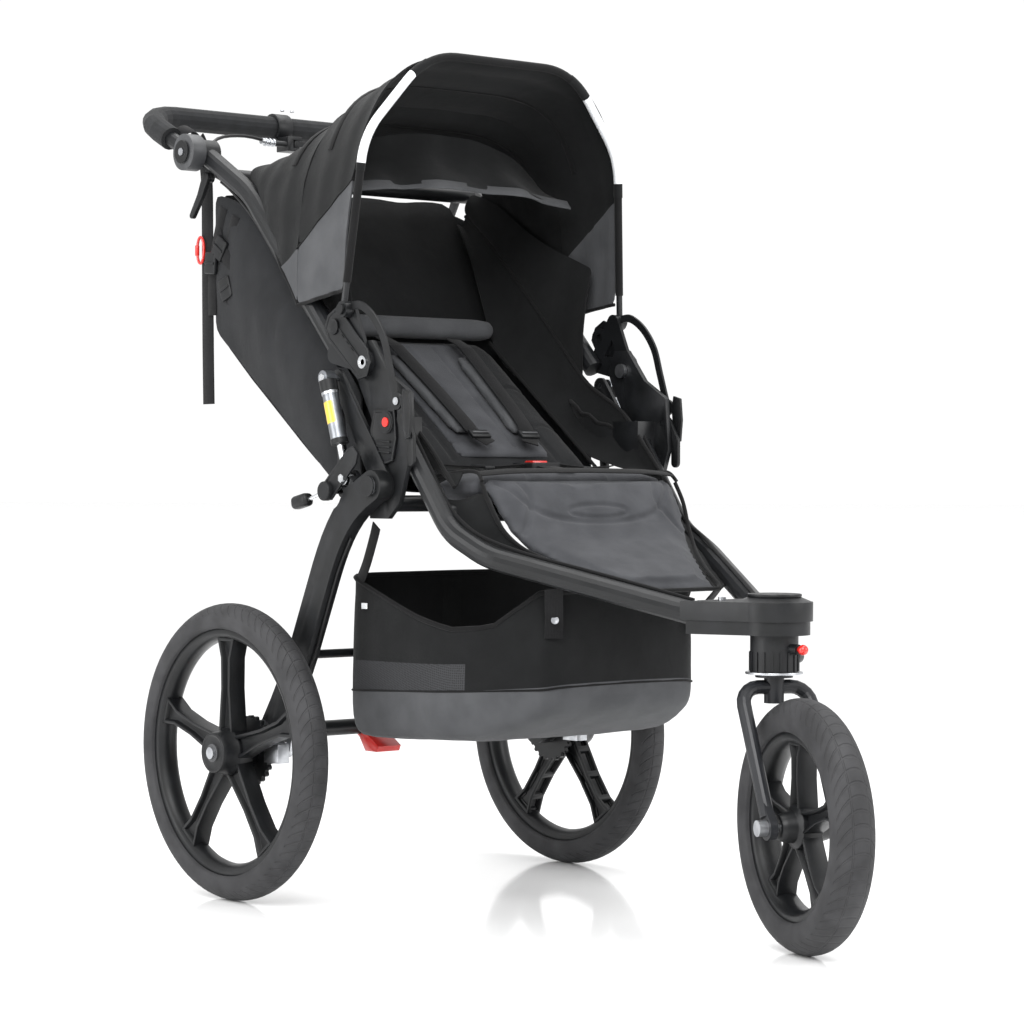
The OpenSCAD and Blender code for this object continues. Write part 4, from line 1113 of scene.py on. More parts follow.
print("harness")
for sign, sideName in ((1, "left"), (-1, "right")):
    rows = []
    for u, half, thick in ((0.070, 0.017, 0.0035), (0.085, 0.0215, 0.0055), (0.150, 0.0225, 0.0060),
                           (0.225, 0.0215, 0.0055), (0.248, 0.017, 0.0035)):
        rows.append(ringAt(onBack(u, sign * (0.062 - (0.25 - u) * 0.06), 0.0315), xAxis, backOut, half,
                           thick))
    pad = inflate(cloneBlock("shoulder_pad_" + sideName, rows), 0.002, 0.004)
    for off in (-0.010, 0.010):
        pressLine(pad, [onBack(0.08, sign * 0.052 + off, 0.04), onBack(0.24, sign * 0.061 + off, 0.04)],
                  0.003, 0.0012, tuple(backOut))
    padPiece(pad, "shoulder_pad_" + sideName, mats["wedge"], "backrest")
    strap("shoulder_strap_" + sideName,
          [onBack(0.292, sign * 0.066, 0.032), onBack(0.262, sign * 0.064, 0.0405),
           onBack(0.245, sign * 0.063, 0.0415), onBack(0.16, sign * 0.057, 0.0425),
           onBack(0.085, sign * 0.052, 0.0415), onBack(0.060, sign * 0.047, 0.0390),
           onBack(0.036, sign * 0.036, 0.0400)], 0.025, 0.0016, mats["webbing"], "backrest", tuple(backOut))
    roundBlock("shoulder_slide_" + sideName, (0.033, 0.015, 0.0050),
               tuple(onBack(0.054, sign * 0.0445, 0.0415)), (math.degrees(tilt), 0, 0), 0.0015,
               mats["nylon"], "backrest")
    roundBlock("slide_bar_" + sideName, (0.028, 0.003, 0.0030), tuple(onBack(0.054, sign * 0.0445, 0.0450)),
               (math.degrees(tilt), 0, 0), 0.0010, mats["greyNylon"], "backrest")
    strap("lap_strap_" + sideName, [(sign * 0.150, 0.052, 0.593), (sign * 0.125, 0.045, 0.5915),
                                    (sign * 0.085, 0.036, 0.5905), (sign * 0.050, 0.031, 0.5925),
                                    (sign * 0.028, 0.030, 0.5945)], 0.025, 0.0016, mats["webbing"],
          "main_frame", (0, 0.25, 1))
    roundBlock("lap_slide_" + sideName, (0.017, 0.031, 0.0050), (sign * 0.088, 0.037, 0.5925), (5, 0, 0),
               0.0014, mats["nylon"], "main_frame")
strap("crotch_strap", [(0, -0.034, 0.588), (0, -0.022, 0.5905), (0, -0.008, 0.5915), (0, 0.006, 0.5935),
                       (0, 0.012, 0.5950)], 0.032, 0.0018, mats["webbing"], "main_frame", (0, 0, 1))
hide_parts("shoulder_pads")

print("binding and edges")
seatEdge = [(0.172, 0.050, 0.578), (0.177, 0.010, 0.582), (0.176, -0.030, 0.5865), (0.172, -0.052, 0.5850),
            (0.174, -0.064, 0.574)]
bothSides(tube("seat_piping", seatEdge, 0.0026, mats["binding"], "main_frame"), "main_frame")
rim = [(-0.172, -0.0545, 0.5835), (-0.120, -0.0575, 0.5870), (-0.060, -0.0585, 0.5880),
       (0, -0.0590, 0.5885), (0.060, -0.0585, 0.5880), (0.120, -0.0575, 0.5870), (0.172, -0.0545, 0.5835)]
strap("seat_rim_binding", rim, 0.016, 0.0022, mats["binding"], "main_frame", (0, -0.35, 0.94))
legEdge = [(0.173, -0.062, 0.572), (0.173, -0.078, 0.545), (0.166, -0.096, 0.512), (0.153, -0.120, 0.488),
           (0.134, -0.150, 0.472), (0.113, -0.190, 0.453), (0.094, -0.230, 0.436), (0.060, -0.2345, 0.434),
           (0, -0.2350, 0.434)]
edge = tube("leg_piping", legEdge, 0.0028, mats["binding"], "main_frame")
bothSides(edge, "main_frame")

# canopy
print("canopy")
# y, lower edge, top, half width, how far the top leans forward
canopy = {"sections": [(0.141, 0.828, 1.1500, 0.2445, 0.028), (0.165, 0.825, 1.1395, 0.2440, 0.016),
                       (0.205, 0.819, 1.1230, 0.2430, 0.006), (0.248, 0.813, 1.1010, 0.2415, 0.0),
                       (0.287, 0.863, 1.0790, 0.2400, 0.0), (0.330, 0.917, 1.0560, 0.2340, 0.0),
                       (0.362, 0.962, 1.0400, 0.2250, 0.0), (0.400, 1.000, 1.0250, 0.2120, 0.0)],
          "thick": 0.0024, "columns": 26}


def archPoint(section, a):
    y, edge, top, half, lean = section
    c = math.cos(a)
    rise = max(0.0, math.sin(a)) ** 0.7
    return Vector((half * math.copysign(abs(c) ** 0.5, c), y - lean * rise, edge + (top - edge) * rise))


def archAngle(section, z):
    edge, top = section[1:3]
    share = max(0.0, min(1.0, (z - edge) / (top - edge)))
    return math.asin(share ** (1 / 0.7))


def splitHeight(section):
    return max(section[1], 0.987 - 0.721 * (section[0] - section[4] * 0.4 - 0.115))


def between(sections, steps):
    result = []
    for a, b in zip(sections, sections[1:]):
        for k in range(steps):
            t = k / steps
            s = [a[i] * (1 - t) + b[i] * t for i in range(5)]
            s[2] -= 0.0035 * math.sin(math.pi * t)
            s[3] -= 0.0016 * math.sin(math.pi * t)
            result.append(tuple(s))
    result.append(sections[-1])
    return result


def upperRow(section, count):
    start = archAngle(section, splitHeight(section))
    return [archPoint(section, start + (math.pi - 2 * start) * k / count) for k in range(count + 1)]


def wedgeRow(section, count, sign):
    stop = archAngle(section, splitHeight(section)) + 0.004
    row = [archPoint(section, stop * k / count) for k in range(count + 1)]
    return [Vector((p.x * sign, p.y, p.z)) for p in row]


def followFront(piece):
    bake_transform(piece)


def followRear(piece):
    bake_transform(piece)


frontSections = between(canopy["sections"][:4], 3)
rearSections = between(canopy["sections"][3:], 3)
canopyFront = clothSheet("canopy_front", [upperRow(s, canopy["columns"]) for s in frontSections],
                         mats["black"], canopy["thick"], 1, ripple=0.0016, grain=14)
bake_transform(canopyFront)
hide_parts("canopy_cover")
canopyRear = clothSheet("canopy_rear", [upperRow(s, canopy["columns"]) for s in rearSections],
                        mats["black"], canopy["thick"], 1, ripple=0.0022, grain=16)
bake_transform(canopyRear)
for sign, sideName in ((1, "left"), (-1, "right")):
    wedgeSheet = clothSheet("canopy_wedge_" + sideName, [wedgeRow(s, 5, sign) for s in frontSections],
                            mats["wedge"], canopy["thick"], 1, ripple=0.0010, grain=22)
    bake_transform(wedgeSheet)
    rearWedge = clothSheet("canopy_wedge_rear_" + sideName,
                           [wedgeRow(s, 5, sign) for s in rearSections[:4]], mats["wedge"], canopy["thick"],
                           1)
    followRear(rearWedge)
    hem = [archPoint(s, 0.0) for s in frontSections]
    followFront(tube("canopy_hem_" + sideName, [(p.x * sign, p.y, p.z) for p in hem], 0.0026,
                     mats["binding"], None, 3, 8))
    rearHem = [archPoint(s, 0.0) for s in rearSections]
    followRear(tube("canopy_rear_hem_" + sideName, [(p.x * sign, p.y, p.z) for p in rearHem], 0.0026,
                    mats["binding"], None, 3, 8))
    seamLine = [archPoint(s, archAngle(s, splitHeight(s))) for s in frontSections]
    followFront(tube("wedge_seam_" + sideName, [((p.x + 0.0016) * sign, p.y, p.z) for p in seamLine],
                     0.0014, mats["binding"], None, 2, 6))


def cornerPath(points, bend, steps=8):
    points = [Vector(p) for p in points]
    result = [points[0]]
    for a, b, c in zip(points, points[1:], points[2:]):
        along, nextWay = (b - a).normalized(), (c - b).normalized()
        turn = along.angle(nextWay)
        inward = (nextWay - along * along.dot(nextWay)).normalized()
        middle = b - along * bend * math.tan(turn / 2) + inward * bend
        for k in range(steps + 1):
            t = turn * k / steps
            result.append(middle + bend * (along * math.sin(t) - inward * math.cos(t)))
    result.append(points[-1])
    return result


def evenPath(points, spacing):
    result, left = [points[0]], 0.0
    for a, b in zip(points, points[1:]):
        length = (b - a).length
        place = spacing - left
        while place < length:
            result.append(a + (b - a) * (place / length))
            place += spacing
        left = (left + length) % spacing
    result.append(points[-1])
    return result


bowPath = evenPath(cornerPath([(side["bowX"], 0.134, 0.811), (0.228, 0.117, 1.035), (0.130, 0.105, 1.150),
                               (-0.130, 0.105, 1.150), (-0.228, 0.117, 1.035),
                               (-side["bowX"], 0.134, 0.811)], 0.110), 0.010)
bowMid = Vector((0, 0.125, 0.93))


bowSize = {"cover": 0.0056, "tape": 0.0062, "edge": 0.0064}


def bowPiece(name, low, high, radius, material, fromLeft=True, flatness=1.0):
    part = [p for p in bowPath if low <= p.z <= high and (p.x > 0 if fromLeft is True else p.x < 0
            if fromLeft is False else True)]
    ups = [(p - bowMid).normalized() for p in part]
    return sweep(name, part, roundSection(radius, 14, flatness), material, "canopy_bow", ups)


bowPiece("bow_sleeve_top", 1.127, 2.0, bowSize["cover"], mats["binding"], None)
for key, sideName in ((True, "left"), (False, "right")):
    bowPiece("bow_tape_" + sideName, 0.990, 1.128, bowSize["tape"], mats["tape"], key)
    bowPiece("bow_sleeve_low_" + sideName, 0.835, 0.991, bowSize["cover"], mats["binding"], key)
    for end, z in (("a", 0.990), ("b", 1.1275)):
        bowPiece("tape_edge_%s_%s" % (end, sideName), z - 0.0125, z + 0.0125, bowSize["edge"],
                 mats["black"], key)
for k, section in enumerate((canopy["sections"][2], canopy["sections"][4])):
    line = [archPoint(section, a) for a in [math.radians(34 + 112 * i / 24) for i in range(25)]]
    ups = [(p - Vector((0, p.y, 0.9))).normalized() for p in line]
    line = [p + u * 0.0012 for p, u in zip(line, ups)]
    follow = (followFront, followRear)[k]
    follow(sweep("canopy_seam_%d" % k, line, strapSection(0.010, 0.0016), mats["binding"], None, ups,
                 smooth=50))
    inner = [p - u * 0.0046 for p, u in zip(line, ups)]
    follow(sweep("canopy_inner_seam_%d" % k, inner, strapSection(0.010, 0.0012), mats["binding"], None, ups,
                 smooth=50))


def rowsBetween(low, top, steps, shift):
    # rows of points from one edge to the other; shift gives each point's own move
    result = []
    for k in range(steps + 1):
        t = k / steps
        pairs = enumerate(zip(low, top))
        result.append([Vector(a).lerp(Vector(b), t) + Vector(shift(t, i)) for i, (a, b) in pairs])
    return result


# inner skirt on each side, from the canopy down to the tube
skirtLow = smoothPath([(0.2045, 0.165, 0.716), (0.2045, 0.205, 0.758), (0.2045, 0.262, 0.816),
                       (0.2045, 0.325, 0.876), (0.2045, 0.385, 0.936), (0.2045, 0.430, 0.974)], 3)
skirtTop = smoothPath([(0.226, 0.168, 0.880), (0.225, 0.205, 0.895), (0.223, 0.255, 0.915),
                       (0.219, 0.310, 0.945), (0.212, 0.365, 0.985), (0.204, 0.415, 1.004)], 3)


def skirtFold(t, i):
    rise = math.sin(math.pi * t)
    return -(0.006 * rise + 0.0020 * math.sin(i * 1.8 + 2 * t) * rise), 0, 0


skirtRows = rowsBetween(skirtLow, skirtTop, 5, skirtFold)
skirt = clothSheet("canopy_skirt_left", skirtRows, mats["black"], 0.0020, 1, ripple=0.0016, grain=22)
skirtRight = mirrored(skirt, "canopy_skirt_right")
for piece in (skirt, skirtRight):
    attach(piece, "upper_frame")

# inner curtain under the canopy, with a grey hem
curtainRows = []
for k in range(6):
    t = k / 5
    row = []
    for i in range(17):
        u = -1 + 2 * i / 16
        top = Vector((0.196 * u, 0.262 - 0.020 * (1 - u * u), 1.062 - 0.050 * abs(u) ** 2.6))
        low = Vector((0.200 * u, 0.190 + 0.010 * math.sin(9 * u), 0.972 + 0.014 * (1 - u * u)))
        p = top.lerp(low, t)
        p.y += 0.016 * math.sin(math.pi * t) + 0.0035 * math.sin(15 * u + 3 * t)
        row.append(p)
    curtainRows.append(row)
curtain = clothSheet("canopy_curtain", curtainRows, mats["black"], 0.0020, 1, ripple=0.0012, grain=26)
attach(curtain, "canopy_mount")
hemLine = curtainRows[-1]
strap("curtain_hem", hemLine[::2], 0.020, 0.0030, mats["wedge"], "canopy_mount", (0, -0.65, 0.75), 4)

# side and back fabric of the seat
print("seat fabric")
sling = {"half": 0.2055, "bulge": 0.014, "thick": 0.0024}
slingTop = [(0.150, 0.690), (0.200, 0.745), (0.262, 0.806), (0.325, 0.868), (0.385, 0.928), (0.430, 0.966),
            (0.494, 0.984)]
slingLow = [(0.150, 0.560), (0.196, 0.561), (0.256, 0.607), (0.316, 0.652), (0.376, 0.698), (0.436, 0.743),
            (0.494, 0.788)]


def lerpPath(points, count):
    path = evenPath([Vector((0, y, z)) for y, z in points], 0.002)
    return [path[min(len(path) - 1, round(k * (len(path) - 1) / count))] for k in range(count + 1)]


tops, lows = lerpPath(slingTop, 16), lerpPath(slingLow, 16)
sideRows = []
for k in range(9):
    t = k / 8
    row = []
    for i in range(17):
        p = tops[i].lerp(lows[i], t)
        edge = min(1.0, 5 * min(i / 16, 1 - i / 16) + 0.15)
        reach = sling["bulge"] * math.sin(math.pi * min(1.0, t * 1.05)) * edge * (0.35 if p.y < 0.20 else 1.0)
        pleat = 0.0016 * math.sin(i * 2.4 + 4 * t) * math.sin(math.pi * t)
        row.append((sling["half"] + reach + pleat, p.y, p.z))
    sideRows.append(row)
panel = clothSheet("side_panel_left", sideRows, mats["canopy"], sling["thick"], 1, ripple=0.0020, grain=15)
panelRight = mirrored(panel, "side_panel_right")
for piece in (panel, panelRight):
    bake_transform(piece)
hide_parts("seat_sling")
backRows = []
for i, (y, z) in enumerate([(0.172, 0.562), (0.196, 0.564), (0.256, 0.604), (0.316, 0.648), (0.376, 0.694),
                            (0.436, 0.740), (0.486, 0.782), (0.4945, 0.800), (0.4950, 0.86), (0.4935, 0.92),
                            (0.4930, 0.984)]):
    row = []
    for k in range(15):
        u = -1 + 2 * k / 14
        sag = 0.012 * (1 - u * u) if 1 < i < 7 else 0.004 * (1 - u * u)
        row.append((u * 0.2045, y + (sag * 0.5 if i < 7 else -sag), z - (sag if i < 7 else 0)))
    backRows.append(row)
backSheet = clothSheet("seat_back_fabric", backRows, mats["black"], sling["thick"], 1, ripple=0.0022,
                       grain=14)
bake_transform(backSheet)
for z, y in ((0.90, 0.4975), (0.83, 0.4975)):
    strap("back_tape_%d" % round(z * 100), [(-0.190, y, z), (-0.07, y - 0.001, z - 0.002),
                                            (0.07, y - 0.001, z - 0.002), (0.190, y, z)], 0.016, 0.0016,
          mats["webbing"], "upper_frame", (0, 1, 0))

# seat sides in front: from the edge of the leg pad out to the tube
skirtInner = smoothPath([(0.168, -0.044, 0.556), (0.166, -0.066, 0.556), (0.164, -0.080, 0.534),
                         (0.156, -0.096, 0.505), (0.145, -0.118, 0.483), (0.127, -0.150, 0.466),
                         (0.107, -0.190, 0.448), (0.089, -0.228, 0.431)], 3)
skirtOuter = smoothPath([(0.1935, -0.012, 0.551), (0.1925, -0.030, 0.531), (0.1905, -0.050, 0.512),
                         (0.1875, -0.075, 0.495), (0.1800, -0.102, 0.480), (0.1600, -0.145, 0.464),
                         (0.1375, -0.185, 0.452), (0.1160, -0.222, 0.442)], 3)


def frontSag(t, i):
    return 0, 0, -(0.005 * math.sin(math.pi * t) * (1 + 0.3 * math.sin(i * 1.7)))


frontRows = rowsBetween(skirtInner, skirtOuter, 4, frontSag)
frontSide = clothSheet("seat_side_left", frontRows, mats["black"], 0.0022, 1, ripple=0.0010, grain=30)
frontSideRight = mirrored(frontSide, "seat_side_right")
for piece in (frontSide, frontSideRight):
    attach(piece, "main_frame")

# inner wings from the backrest edges up to the tubes
alongBack = [tuple(onBack(u, 0.163, 0.010)) for u in (0.06, 0.14, 0.22, 0.30)]
wing = {"inner": [(0.176, -0.030, 0.586), (0.178, 0.020, 0.588), (0.177, 0.066, 0.596), *alongBack,
                  (0.176, 0.385, 0.905), (0.186, 0.430, 0.960)],
        "outer": [(0.1925, -0.030, 0.566), (0.1945, 0.022, 0.622), (0.2020, 0.078, 0.672),
                  (0.2030, 0.150, 0.712), (0.2035, 0.205, 0.764), (0.2035, 0.262, 0.822),
                  (0.2035, 0.318, 0.876), (0.2035, 0.372, 0.927), (0.2035, 0.430, 0.972)]}


def wingFold(t, i):
    rise = math.sin(math.pi * t)
    return 0.0050 * rise + 0.0022 * math.sin(i * 1.9) * rise, 0, -(0.010 * rise)


wingRows = rowsBetween(smoothPath(wing["inner"], 4), smoothPath(wing["outer"], 4), 6, wingFold)
wingLeft = clothSheet("side_wing_left", wingRows, mats["black"], 0.0022, 1, ripple=0.0016, grain=24)
wingRight = mirrored(wingLeft, "side_wing_right")
for piece, sign in ((wingLeft, 1), (wingRight, -1)):
    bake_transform(piece)
bothSides(tube("wing_binding", [tuple(p) for p in wing["outer"]], 0.0030, mats["binding"], "main_frame", 5,
               8), "main_frame")
bothSides(tube("back_piping", [tuple(onBack(u, 0.1615, 0.012)) for u in (0.02, 0.10, 0.18, 0.26, 0.318)],
               0.0026, mats["binding"], "backrest", 5, 8), "backrest")
pocketRows = []
for k in range(5):
    t = k / 4
    pocketRows.append([(0.1985 - 0.020 * math.sin(math.pi * i / 8) * (0.4 + 0.6 * t), 0.084 + 0.105 * i / 8,
                        0.600 + 0.052 * i / 8 + 0.046 * t + 0.0025 * math.sin(i * 2.6)) for i in range(9)])
pocket = clothSheet("side_pocket_left", pocketRows, mats["seatDark"], 0.0020, 1, ripple=0.0010, grain=40)
pocketRight = mirrored(pocket, "side_pocket_right")
for piece in (pocket, pocketRight):
    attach(piece, "main_frame")
pocketTop = tube("pocket_hem", pocketRows[-1], 0.0028, mats["binding"], "main_frame", 2, 8)
bothSides(pocketTop, "main_frame")
rearRows = []
for k in range(6):
    t = k / 5
    rearRows.append([((-1 + 2 * i / 12) * 0.196, 0.352 + 0.105 * t + 0.010 * math.sin(math.pi * i / 12),
                      0.800 + 0.190 * t + 0.003 * math.sin(i * 1.7 + 2 * t)) for i in range(13)])
rearCurtain = clothSheet("seat_rear_curtain", rearRows, mats["black"], 0.0020, 1, ripple=0.0018, grain=20)
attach(rearCurtain, "upper_frame")

# basket
print("basket")
basket = {"band": 0.066, "bandDrop": 0.030, "frontStart": -0.05, "middle": 0.02, "mesh": 0.040}
plan = [(0, 0.193), (0.100, 0.192), (0.178, 0.190), (0.197, 0.176), (0.1995, 0.120), (0.199, 0.060),
        (0.196, 0.0), (0.174, -0.060), (0.148, -0.112), (0.126, -0.142), (0.080, -0.1495), (0, -0.1515)]
plan = plan + [(-x, y) for x, y in plan[-2:0:-1]]
ringPath = smoothPath([(x, y, 0) for x, y in plan], 3, True)


def rimHeight(y):
    knots = [(-0.152, 0.432), (-0.135, 0.430), (-0.112, 0.412), (-0.075, 0.384), (-0.02, 0.380),
             (0.05, 0.396), (0.12, 0.420), (0.194, 0.446)]
    for (a, za), (b, zb) in zip(knots, knots[1:]):
        if y <= b:
            t = max(0.0, (y - a) / (b - a))
            return za + (zb - za) * t
    return knots[-1][1]


def bandHeight(y):
    # the grey band round the bottom is lower at the front
    if y > basket["frontStart"]:
        return basket["band"]
    return basket["band"] - basket["bandDrop"] * min(1.0, (basket["frontStart"] - y) / 0.09)


def floorHeight(y):
    return 0.224 + max(0.0, (0.184 - y)) * 0.045 + max(0.0, -0.05 - y) * 0.34


basketRows = []
levels = ("rim", "rimLow", "high", "meshTop", "bandTop", "low", "corner", "floor1", "floor2", "floor3")
for level in levels:
    row = []
    for p in ringPath:
        top, low = rimHeight(p.y), floorHeight(p.y)
        band = bandHeight(p.y)
        z = {"rim": top, "rimLow": top - 0.014, "high": (top + low + band) / 2 + 0.012,
             "meshTop": min(low + band + basket["mesh"], top - 0.030), "bandTop": low + band,
             "low": low + band * 0.45, "corner": low + 0.010, "floor1": low + 0.001, "floor2": low - 0.002,
             "floor3": low - 0.003}[level]
        share = {"rim": 0.985, "rimLow": 0.988, "high": 0.997, "meshTop": 1.0, "bandTop": 1.0, "low": 0.995,
                 "corner": 0.975, "floor1": 0.93, "floor2": 0.60, "floor3": 0.20}[level]
        q = Vector((p.x * share, basket["middle"] + (p.y - basket["middle"]) * share, z))
        if level in ("corner", "floor1", "floor2", "floor3"):
            q.z += floorHeight(q.y) - low
        if level in ("high", "rimLow", "meshTop"):
            q.x += 0.0022 * math.sin(p.y * 160) * (1 if p.x > 0 else -1)
            q.y += 0.0016 * math.sin(p.x * 150)
        row.append(q)
    basketRows.append(row)
basketMesh = clothSheet("basket_cloth", basketRows, mats["black"], 0.0028, 1, closed=True, ripple=0.0012,
                        grain=20)
for extra in ("wedge", "mesh"):
    basketMesh.data.materials.append(mats[extra])
for face in basketMesh.data.polygons:
    c = face.center
    low = floorHeight(c.y)
    band = bandHeight(c.y)
    if c.z < low + band:
        face.material_index = 1
    elif c.z < low + band + basket["mesh"] and abs(c.x) > 0.17 and -0.04 < c.y < 0.176:
        face.material_index = 2
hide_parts("basket")
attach(basketMesh, "main_frame")
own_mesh(basketMesh)
rimLine = [Vector((p.x * 0.987, basket["middle"] + (p.y - basket["middle"]) * 0.987, rimHeight(p.y)))
           for p in ringPath]
basketRim = sweep("basket_rim", rimLine, roundSection(0.0036, 8), mats["binding"], "main_frame",
                  (0.1, 0.2, 0.97), closed=True)
bandLine = [Vector((p.x * 1.004, basket["middle"] + (p.y - basket["middle"]) * 1.004,
                    floorHeight(p.y) + bandHeight(p.y))) for p in ringPath]
basketBand = sweep("basket_band_piping", bandLine, roundSection(0.0016, 6), mats["binding"], "main_frame",
                   (0.1, 0.2, 0.97), closed=True)
for piece in (basketRim, basketBand):
    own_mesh(piece)
for sign, sideName in ((1, "left"), (-1, "right")):
    hanger = strap("basket_hanger_" + sideName,
                   [(sign * 0.123, -0.148, 0.372), (sign * 0.126, -0.152, 0.392),
                    (sign * 0.143, -0.171, 0.424), (sign * 0.150, -0.179, 0.438)], 0.024, 0.002,
                   mats["webbing"], None, (sign * 0.5, -0.8, 0.2))
    rearHanger = strap("basket_rear_hanger_" + sideName,
                       [(sign * 0.195, 0.168, 0.438), (sign * 0.204, 0.142, 0.462),
                        (sign * 0.214, 0.114, 0.496), (sign * 0.218, 0.102, 0.514)], 0.020, 0.002,
                       mats["webbing"], None, (sign * 1.0, 0, 0.1))
    for piece in (hanger, rearHanger):
        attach(piece, "main_frame")
    disc("basket_snap_" + sideName, 0.0052, 0.0022, (sign * 0.1290, -0.1570, 0.396), mats["alloy"],
         "main_frame", (sign * 0.5, -0.85, 0.1), 0.0006, 24, (0.6, 0.0006))
    roundBlock("basket_tab_" + sideName, (0.0016, 0.012, 0.008), (sign * 0.2012, 0.150, 0.405), (0, 0, 0),
               0.0005, mats["tape"], "main_frame")

# straps at the handlebar and recline straps
print("straps")
wristStrap = strap("wrist_strap", [(-0.2050, 0.541, 1.066), (-0.2050, 0.528, 1.045), (-0.2050, 0.520, 1.00),
                                   (-0.2048, 0.5185, 0.93), (-0.2046, 0.518, 0.85), (-0.2040, 0.5175, 0.76),
                                   (-0.2030, 0.517, 0.683)], 0.028, 0.0022, mats["webbing"], None,
                   (-1, 0, 0))
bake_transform(wristStrap)
armWay = Vector((0, 0.132, 0.066)).normalized()
armUp = Vector((0, -armWay.z, armWay.y))
armSpot = Vector((-0.2245, 0.545, 1.0645))
loopPath = [armSpot + 0.0165 * (Vector((1, 0, 0)) * math.cos(a) + armUp * math.sin(a))
            for a in turnAngles(28)]
sweep("wrist_loop", loopPath, strapSection(0.026, 0.0022), mats["webbing"], "handlebar",
      [(p - armSpot).normalized() for p in loopPath], closed=True)
clipPath = [Vector((-0.2090, 0.5300 + 0.0085 * math.cos(a), 0.905 + 0.019 * math.sin(a)))
            for a in turnAngles(28)]
sweep("wrist_clip", clipPath, roundSection(0.0021, 8), mats["red"], "upper_frame", (1, 0, 0), closed=True)
roundBlock("wrist_clip_gate", (0.0050, 0.0060, 0.016), (-0.2090, 0.5385, 0.905), (0, 0, 0), 0.0016,
           mats["red"], "upper_frame")
recline = {"a": [(-0.2090, 0.472, 0.962), (-0.2100, 0.486, 0.92), (-0.2105, 0.497, 0.87),
                 (-0.2090, 0.500, 0.81)],
           "b": [(-0.2100, 0.440, 0.948), (-0.2125, 0.456, 0.90), (-0.2120, 0.462, 0.86),
                 (-0.2125, 0.452, 0.832), (-0.2120, 0.436, 0.842), (-0.2110, 0.430, 0.875)],
           "c": [(-0.2105, 0.485, 0.930), (-0.2150, 0.468, 0.902), (-0.2150, 0.438, 0.878),
                 (-0.2115, 0.410, 0.868)]}
for key, route in recline.items():
    first = strap("recline_strap_" + key, route, 0.020, 0.0020, mats["webbing"], "upper_frame", (-1, 0, 0.05))
    mirrored(first, "recline_strap_%s_left" % key, "upper_frame")
for k, (y, z, turn) in enumerate(((0.470, 0.904, 35), (0.455, 0.846, -20), (0.492, 0.884, 5))):
    buckle = roundBlock("recline_buckle_%d" % k, (0.0070, 0.026, 0.031), (-0.2165, y, z), (turn, 0, 0),
                        0.0022, mats["nylon"], "upper_frame")
    mirrored(buckle, "recline_buckle_%d_left" % k, "upper_frame")
    bar = roundBlock("recline_buckle_bar_%d" % k, (0.0030, 0.023, 0.004), (-0.2205, y, z), (turn, 0, 0),
                     0.0012, mats["nylon"], "upper_frame")
    mirrored(bar, "recline_buckle_bar_%d_left" % k, "upper_frame")
for k, (y, z) in enumerate(((0.205, 0.742), (0.300, 0.836), (0.392, 0.926))):
    bothSides(disc("panel_snap_%d" % k, 0.0050, 0.0020, (0.2092, y + 0.006, z - 0.016), mats["nylon"],
                   "upper_frame", "X", 0.0006, 24, (0.6, 0.0006)), "upper_frame")

# brake cables
print("brake cables")


def axleRoute(sign):
    points = [(0.250, 0.1154, 0.4984), (0.250, 0.1407, 0.4587), (0.250, 0.1565, 0.4259),
              (0.250, 0.1771, 0.3799), (0.250, 0.2052, 0.322), (0.253, 0.228, 0.276),
              (0.257, 0.2377, 0.2442)]
    return [(sign * x, y, z) for x, y, z in points]


# route, diameter, body, the CAD node that it stands for
brakeCables = {"handle": ([(-0.0345, 0.593, 1.078), (-0.090, 0.589, 1.084), (-0.150, 0.573, 1.074),
                           (-0.188, 0.545, 1.044), (-0.202, 0.515, 1.018), (-0.204, 0.485, 1.004)],
                          0.005, "handlebar", "brake_cable_handle"),
               "frame": ([(-side["upperX"], y, z)
                          for y, z in ((0.455, 0.997), (0.425, 0.979), (0.372, 0.937), (0.311, 0.871),
                                       (0.243, 0.797))], 0.005, "upper_frame", "brake_cable_frame"),
               "axle_left": (axleRoute(1), 0.004, "swingarm", "brake_cable_axle"),
               "axle_right": (axleRoute(-1), 0.004, "swingarm", None)}
for key, (route, width, body, node) in brakeCables.items():
    way = smoothPath(route, 4)
    sleeve = tube("brake_sleeve_" + key, route, width / 2, mats["sleeve"], body, 4, 12)
    if node:
        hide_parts(node)

# floor, light and camera
print("stage")
view = {"azimuth": -40.37, "elevation": 0.733, "distance": 3.75566, "target": (-0.1397, -0.084, 0.534),
        "focal": 2891.9, "roll": 0.16}


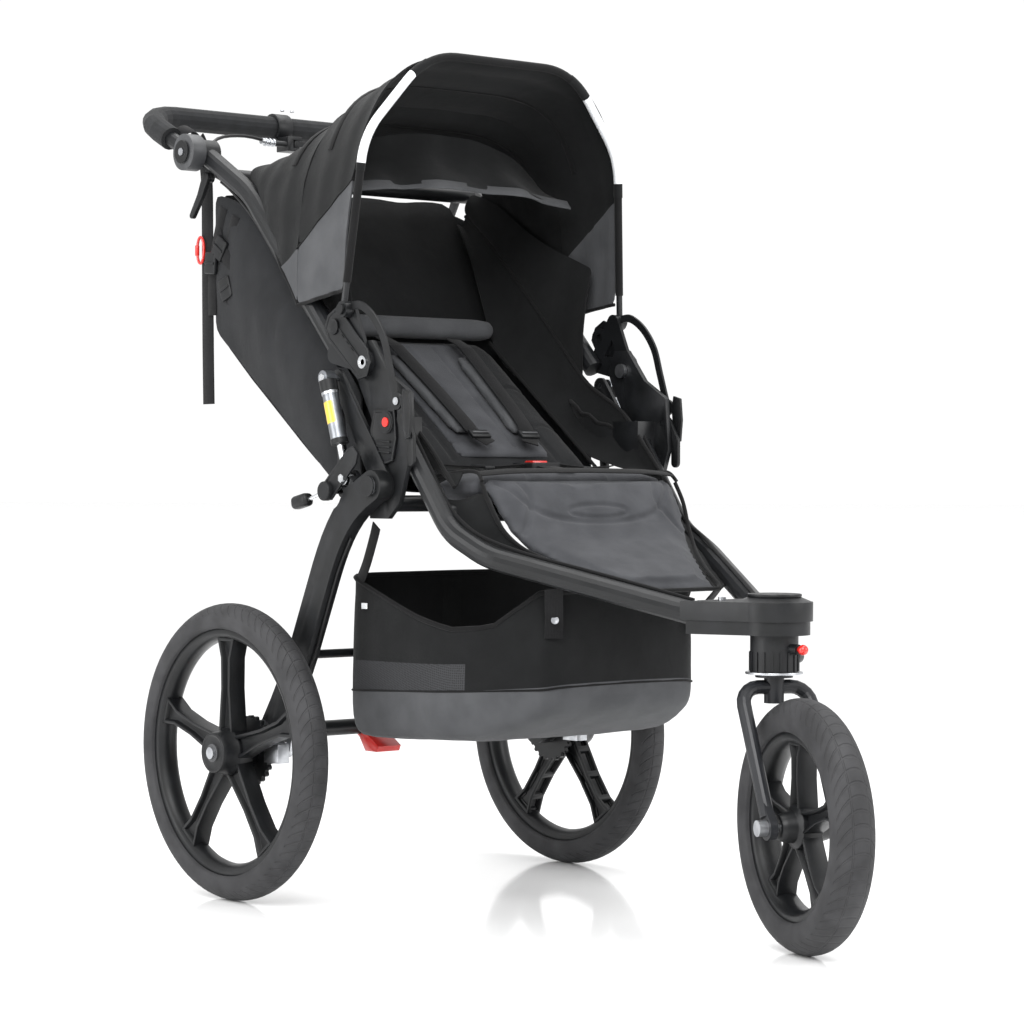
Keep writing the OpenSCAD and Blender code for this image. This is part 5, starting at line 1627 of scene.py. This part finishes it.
def placeCamera():
    a, e = math.radians(view["azimuth"]), math.radians(view["elevation"])
    back = Vector((math.sin(a) * math.cos(e), -math.cos(a) * math.cos(e), math.sin(e)))
    right = (-back).cross(Vector((0, 0, 1))).normalized()
    up = right.cross(-back)
    roll = math.radians(view["roll"])
    right, up = right * math.cos(roll) + up * math.sin(roll), -right * math.sin(roll) + up * math.cos(roll)
    data = bpy.data.cameras.new("studioCamera")
    camera = bpy.data.objects.new("studioCamera", data)
    scene.collection.objects.link(camera)
    place = Matrix((right, up, back)).transposed().to_4x4()
    place.translation = Vector(view["target"]) + back * view["distance"]
    camera.matrix_world = place
    data.sensor_width = 36.0
    data.lens = 36.0 * view["focal"] / 1024
    data.clip_end = 60
    scene.camera = camera


def softLamp(name, place, aim, power, size):
    data = bpy.data.lights.new(name, "AREA")
    data.energy, data.shape, data.size, data.size_y = power, "RECTANGLE", size[0], size[1]
    lamp = bpy.data.objects.new(name, data)
    scene.collection.objects.link(lamp)
    lamp.location = place
    lamp.rotation_euler = (Vector(aim) - Vector(place)).to_track_quat("-Z", "Y").to_euler()
    return lamp


placeCamera()
bpy.ops.object.select_all(action="DESELECT")
bpy.ops.mesh.primitive_plane_add(size=400, location=(0, 0, 0))
floor = bpy.context.object
floor.name = "studioFloor"
# white acrylic sheet: the wheels show in it, softer further down
floorMaterial = startMaterial("glossyStudioFloor", "#ffffff", 0.10, ior=1.45)[0]
floor.data.materials.append(floorMaterial)

world = scene.world or bpy.data.worlds.new("studioWorld")
scene.world = world
world.use_nodes = True
world.node_tree.nodes["Background"].inputs["Color"].default_value = (1.0, 1.0, 1.0, 1.0)
world.node_tree.nodes["Background"].inputs["Strength"].default_value = 1.03
softLamp("keyBox", (-2.6, -2.4, 3.0), (0, 0, 0.5), 150, (2.4, 2.4))
softLamp("sideBox", (-3.6, 1.0, 1.4), (0, 0, 0.5), 70, (2.0, 2.4))
softLamp("topBox", (0.4, 0.2, 3.4), (0, 0, 0.5), 90, (3.0, 3.0))
softLamp("frontBox", (1.8, -3.2, 1.8), (0, 0, 0.6), 60, (2.0, 2.0))
scene.view_settings.view_transform = "Standard"
